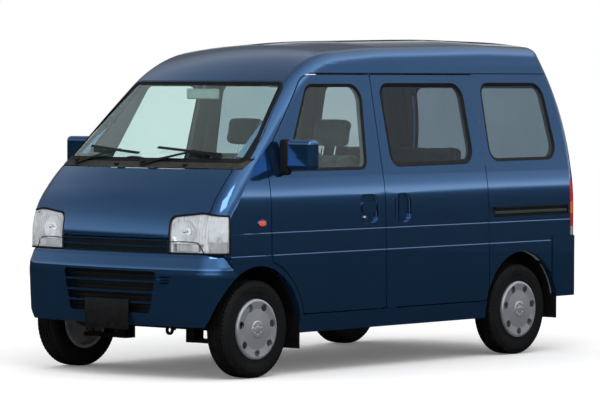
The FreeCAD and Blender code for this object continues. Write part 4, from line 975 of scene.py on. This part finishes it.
def studio_world():
    world = bpy.data.worlds.new("studio")
    bpy.context.scene.world = world
    world.use_nodes = True
    tree = world.node_tree
    split = tree.nodes.new("ShaderNodeSeparateXYZ")
    tree.links.new(tree.nodes.new("ShaderNodeTexCoord").outputs["Generated"], split.inputs["Vector"])
    height = tree.nodes.new("ShaderNodeMapRange")
    height.inputs["From Min"].default_value = -1.0
    tree.links.new(split.outputs["Z"], height.inputs["Value"])
    skies = []
    for table in (SKY, SKY_AHEAD):
        ramp = tree.nodes.new("ShaderNodeValToRGB")
        while len(ramp.color_ramp.elements) < len(table):
            ramp.color_ramp.elements.new(0.5)
        for element, (position, shade) in zip(ramp.color_ramp.elements, table):
            element.position = position
            element.color = (*shade, 1.0)
        tree.links.new(height.outputs["Result"], ramp.inputs["Fac"])
        skies.append(ramp.outputs["Color"])
    ahead = tree.nodes.new("ShaderNodeMapRange")
    ahead.inputs["From Min"].default_value, ahead.inputs["From Max"].default_value = SKY_TURN
    tree.links.new(split.outputs["X"], ahead.inputs["Value"])
    sky = tree.nodes.new("ShaderNodeMix")
    sky.data_type = "RGBA"
    tree.links.new(ahead.outputs["Result"], sky.inputs["Factor"])
    tree.links.new(skies[0], sky.inputs["A"])
    tree.links.new(skies[1], sky.inputs["B"])
    choose = tree.nodes.new("ShaderNodeMix")
    choose.data_type = "RGBA"
    choose.inputs["A"].default_value = (1.0, 1.0, 1.0, 1.0)
    ray = tree.nodes.new("ShaderNodeLightPath")
    mirrored = tree.nodes.new("ShaderNodeMath")
    mirrored.operation = "SUBTRACT"
    mirrored.use_clamp = True
    tree.links.new(ray.outputs["Is Glossy Ray"], mirrored.inputs[0])
    tree.links.new(ray.outputs["Is Transmission Ray"], mirrored.inputs[1])
    tree.links.new(mirrored.outputs["Value"], choose.inputs["Factor"])
    brighter = tree.nodes.new("ShaderNodeMapRange")
    brighter.inputs["From Min"].default_value, brighter.inputs["To Min"].default_value = SKY_RIGHT
    brighter.inputs["From Max"].default_value, brighter.inputs["To Max"].default_value = SKY_LEFT
    tree.links.new(split.outputs["Y"], brighter.inputs["Value"])
    scaled = tree.nodes.new("ShaderNodeVectorMath")
    scaled.operation = "SCALE"
    tree.links.new(sky.outputs["Result"], scaled.inputs[0])
    tree.links.new(brighter.outputs["Result"], scaled.inputs["Scale"])
    tree.links.new(scaled.outputs["Vector"], choose.inputs["B"])
    background = tree.nodes["Background"]
    tree.links.new(choose.outputs["Result"], background.inputs["Color"])
    background.inputs["Strength"].default_value = 1.0


def softbox(name, place, target, size, power):
    lamp = bpy.data.lights.new(name, "AREA")
    lamp.shape = "RECTANGLE"
    lamp.size, lamp.size_y = size
    lamp.energy = power
    made = bpy.data.objects.new(name, lamp)
    bpy.context.scene.collection.objects.link(made)
    made.location = place
    made.rotation_euler = (Vector(target) - Vector(place)).to_track_quat("-Z", "Y").to_euler()


studio_world()
softbox("key", (4.0, 4.5, 6.5), (0.0, 0.0, 0.9), (4.0, 3.0), 120.0)

camera = bpy.data.objects.new("camera", bpy.data.cameras.new("camera"))
bpy.context.scene.collection.objects.link(camera)
bpy.context.scene.camera = camera
camera.data.lens = CAMERA_LENS
camera.data.sensor_width = 36.0
camera.data.sensor_fit = "HORIZONTAL"
camera.data.clip_end = 200.0
aim = Vector((
    -math.cos(CAMERA_YAW) * math.cos(CAMERA_PITCH), -math.sin(CAMERA_YAW) * math.cos(CAMERA_PITCH),
    math.sin(CAMERA_PITCH),
))
turned = aim.to_track_quat("-Z", "Y").to_matrix() @ Matrix.Rotation(CAMERA_ROLL, 3, "Z")
camera.matrix_world = Matrix.Translation(CAMERA_PLACE) @ turned.to_4x4()

bpy.context.scene.view_settings.view_transform = "Standard"
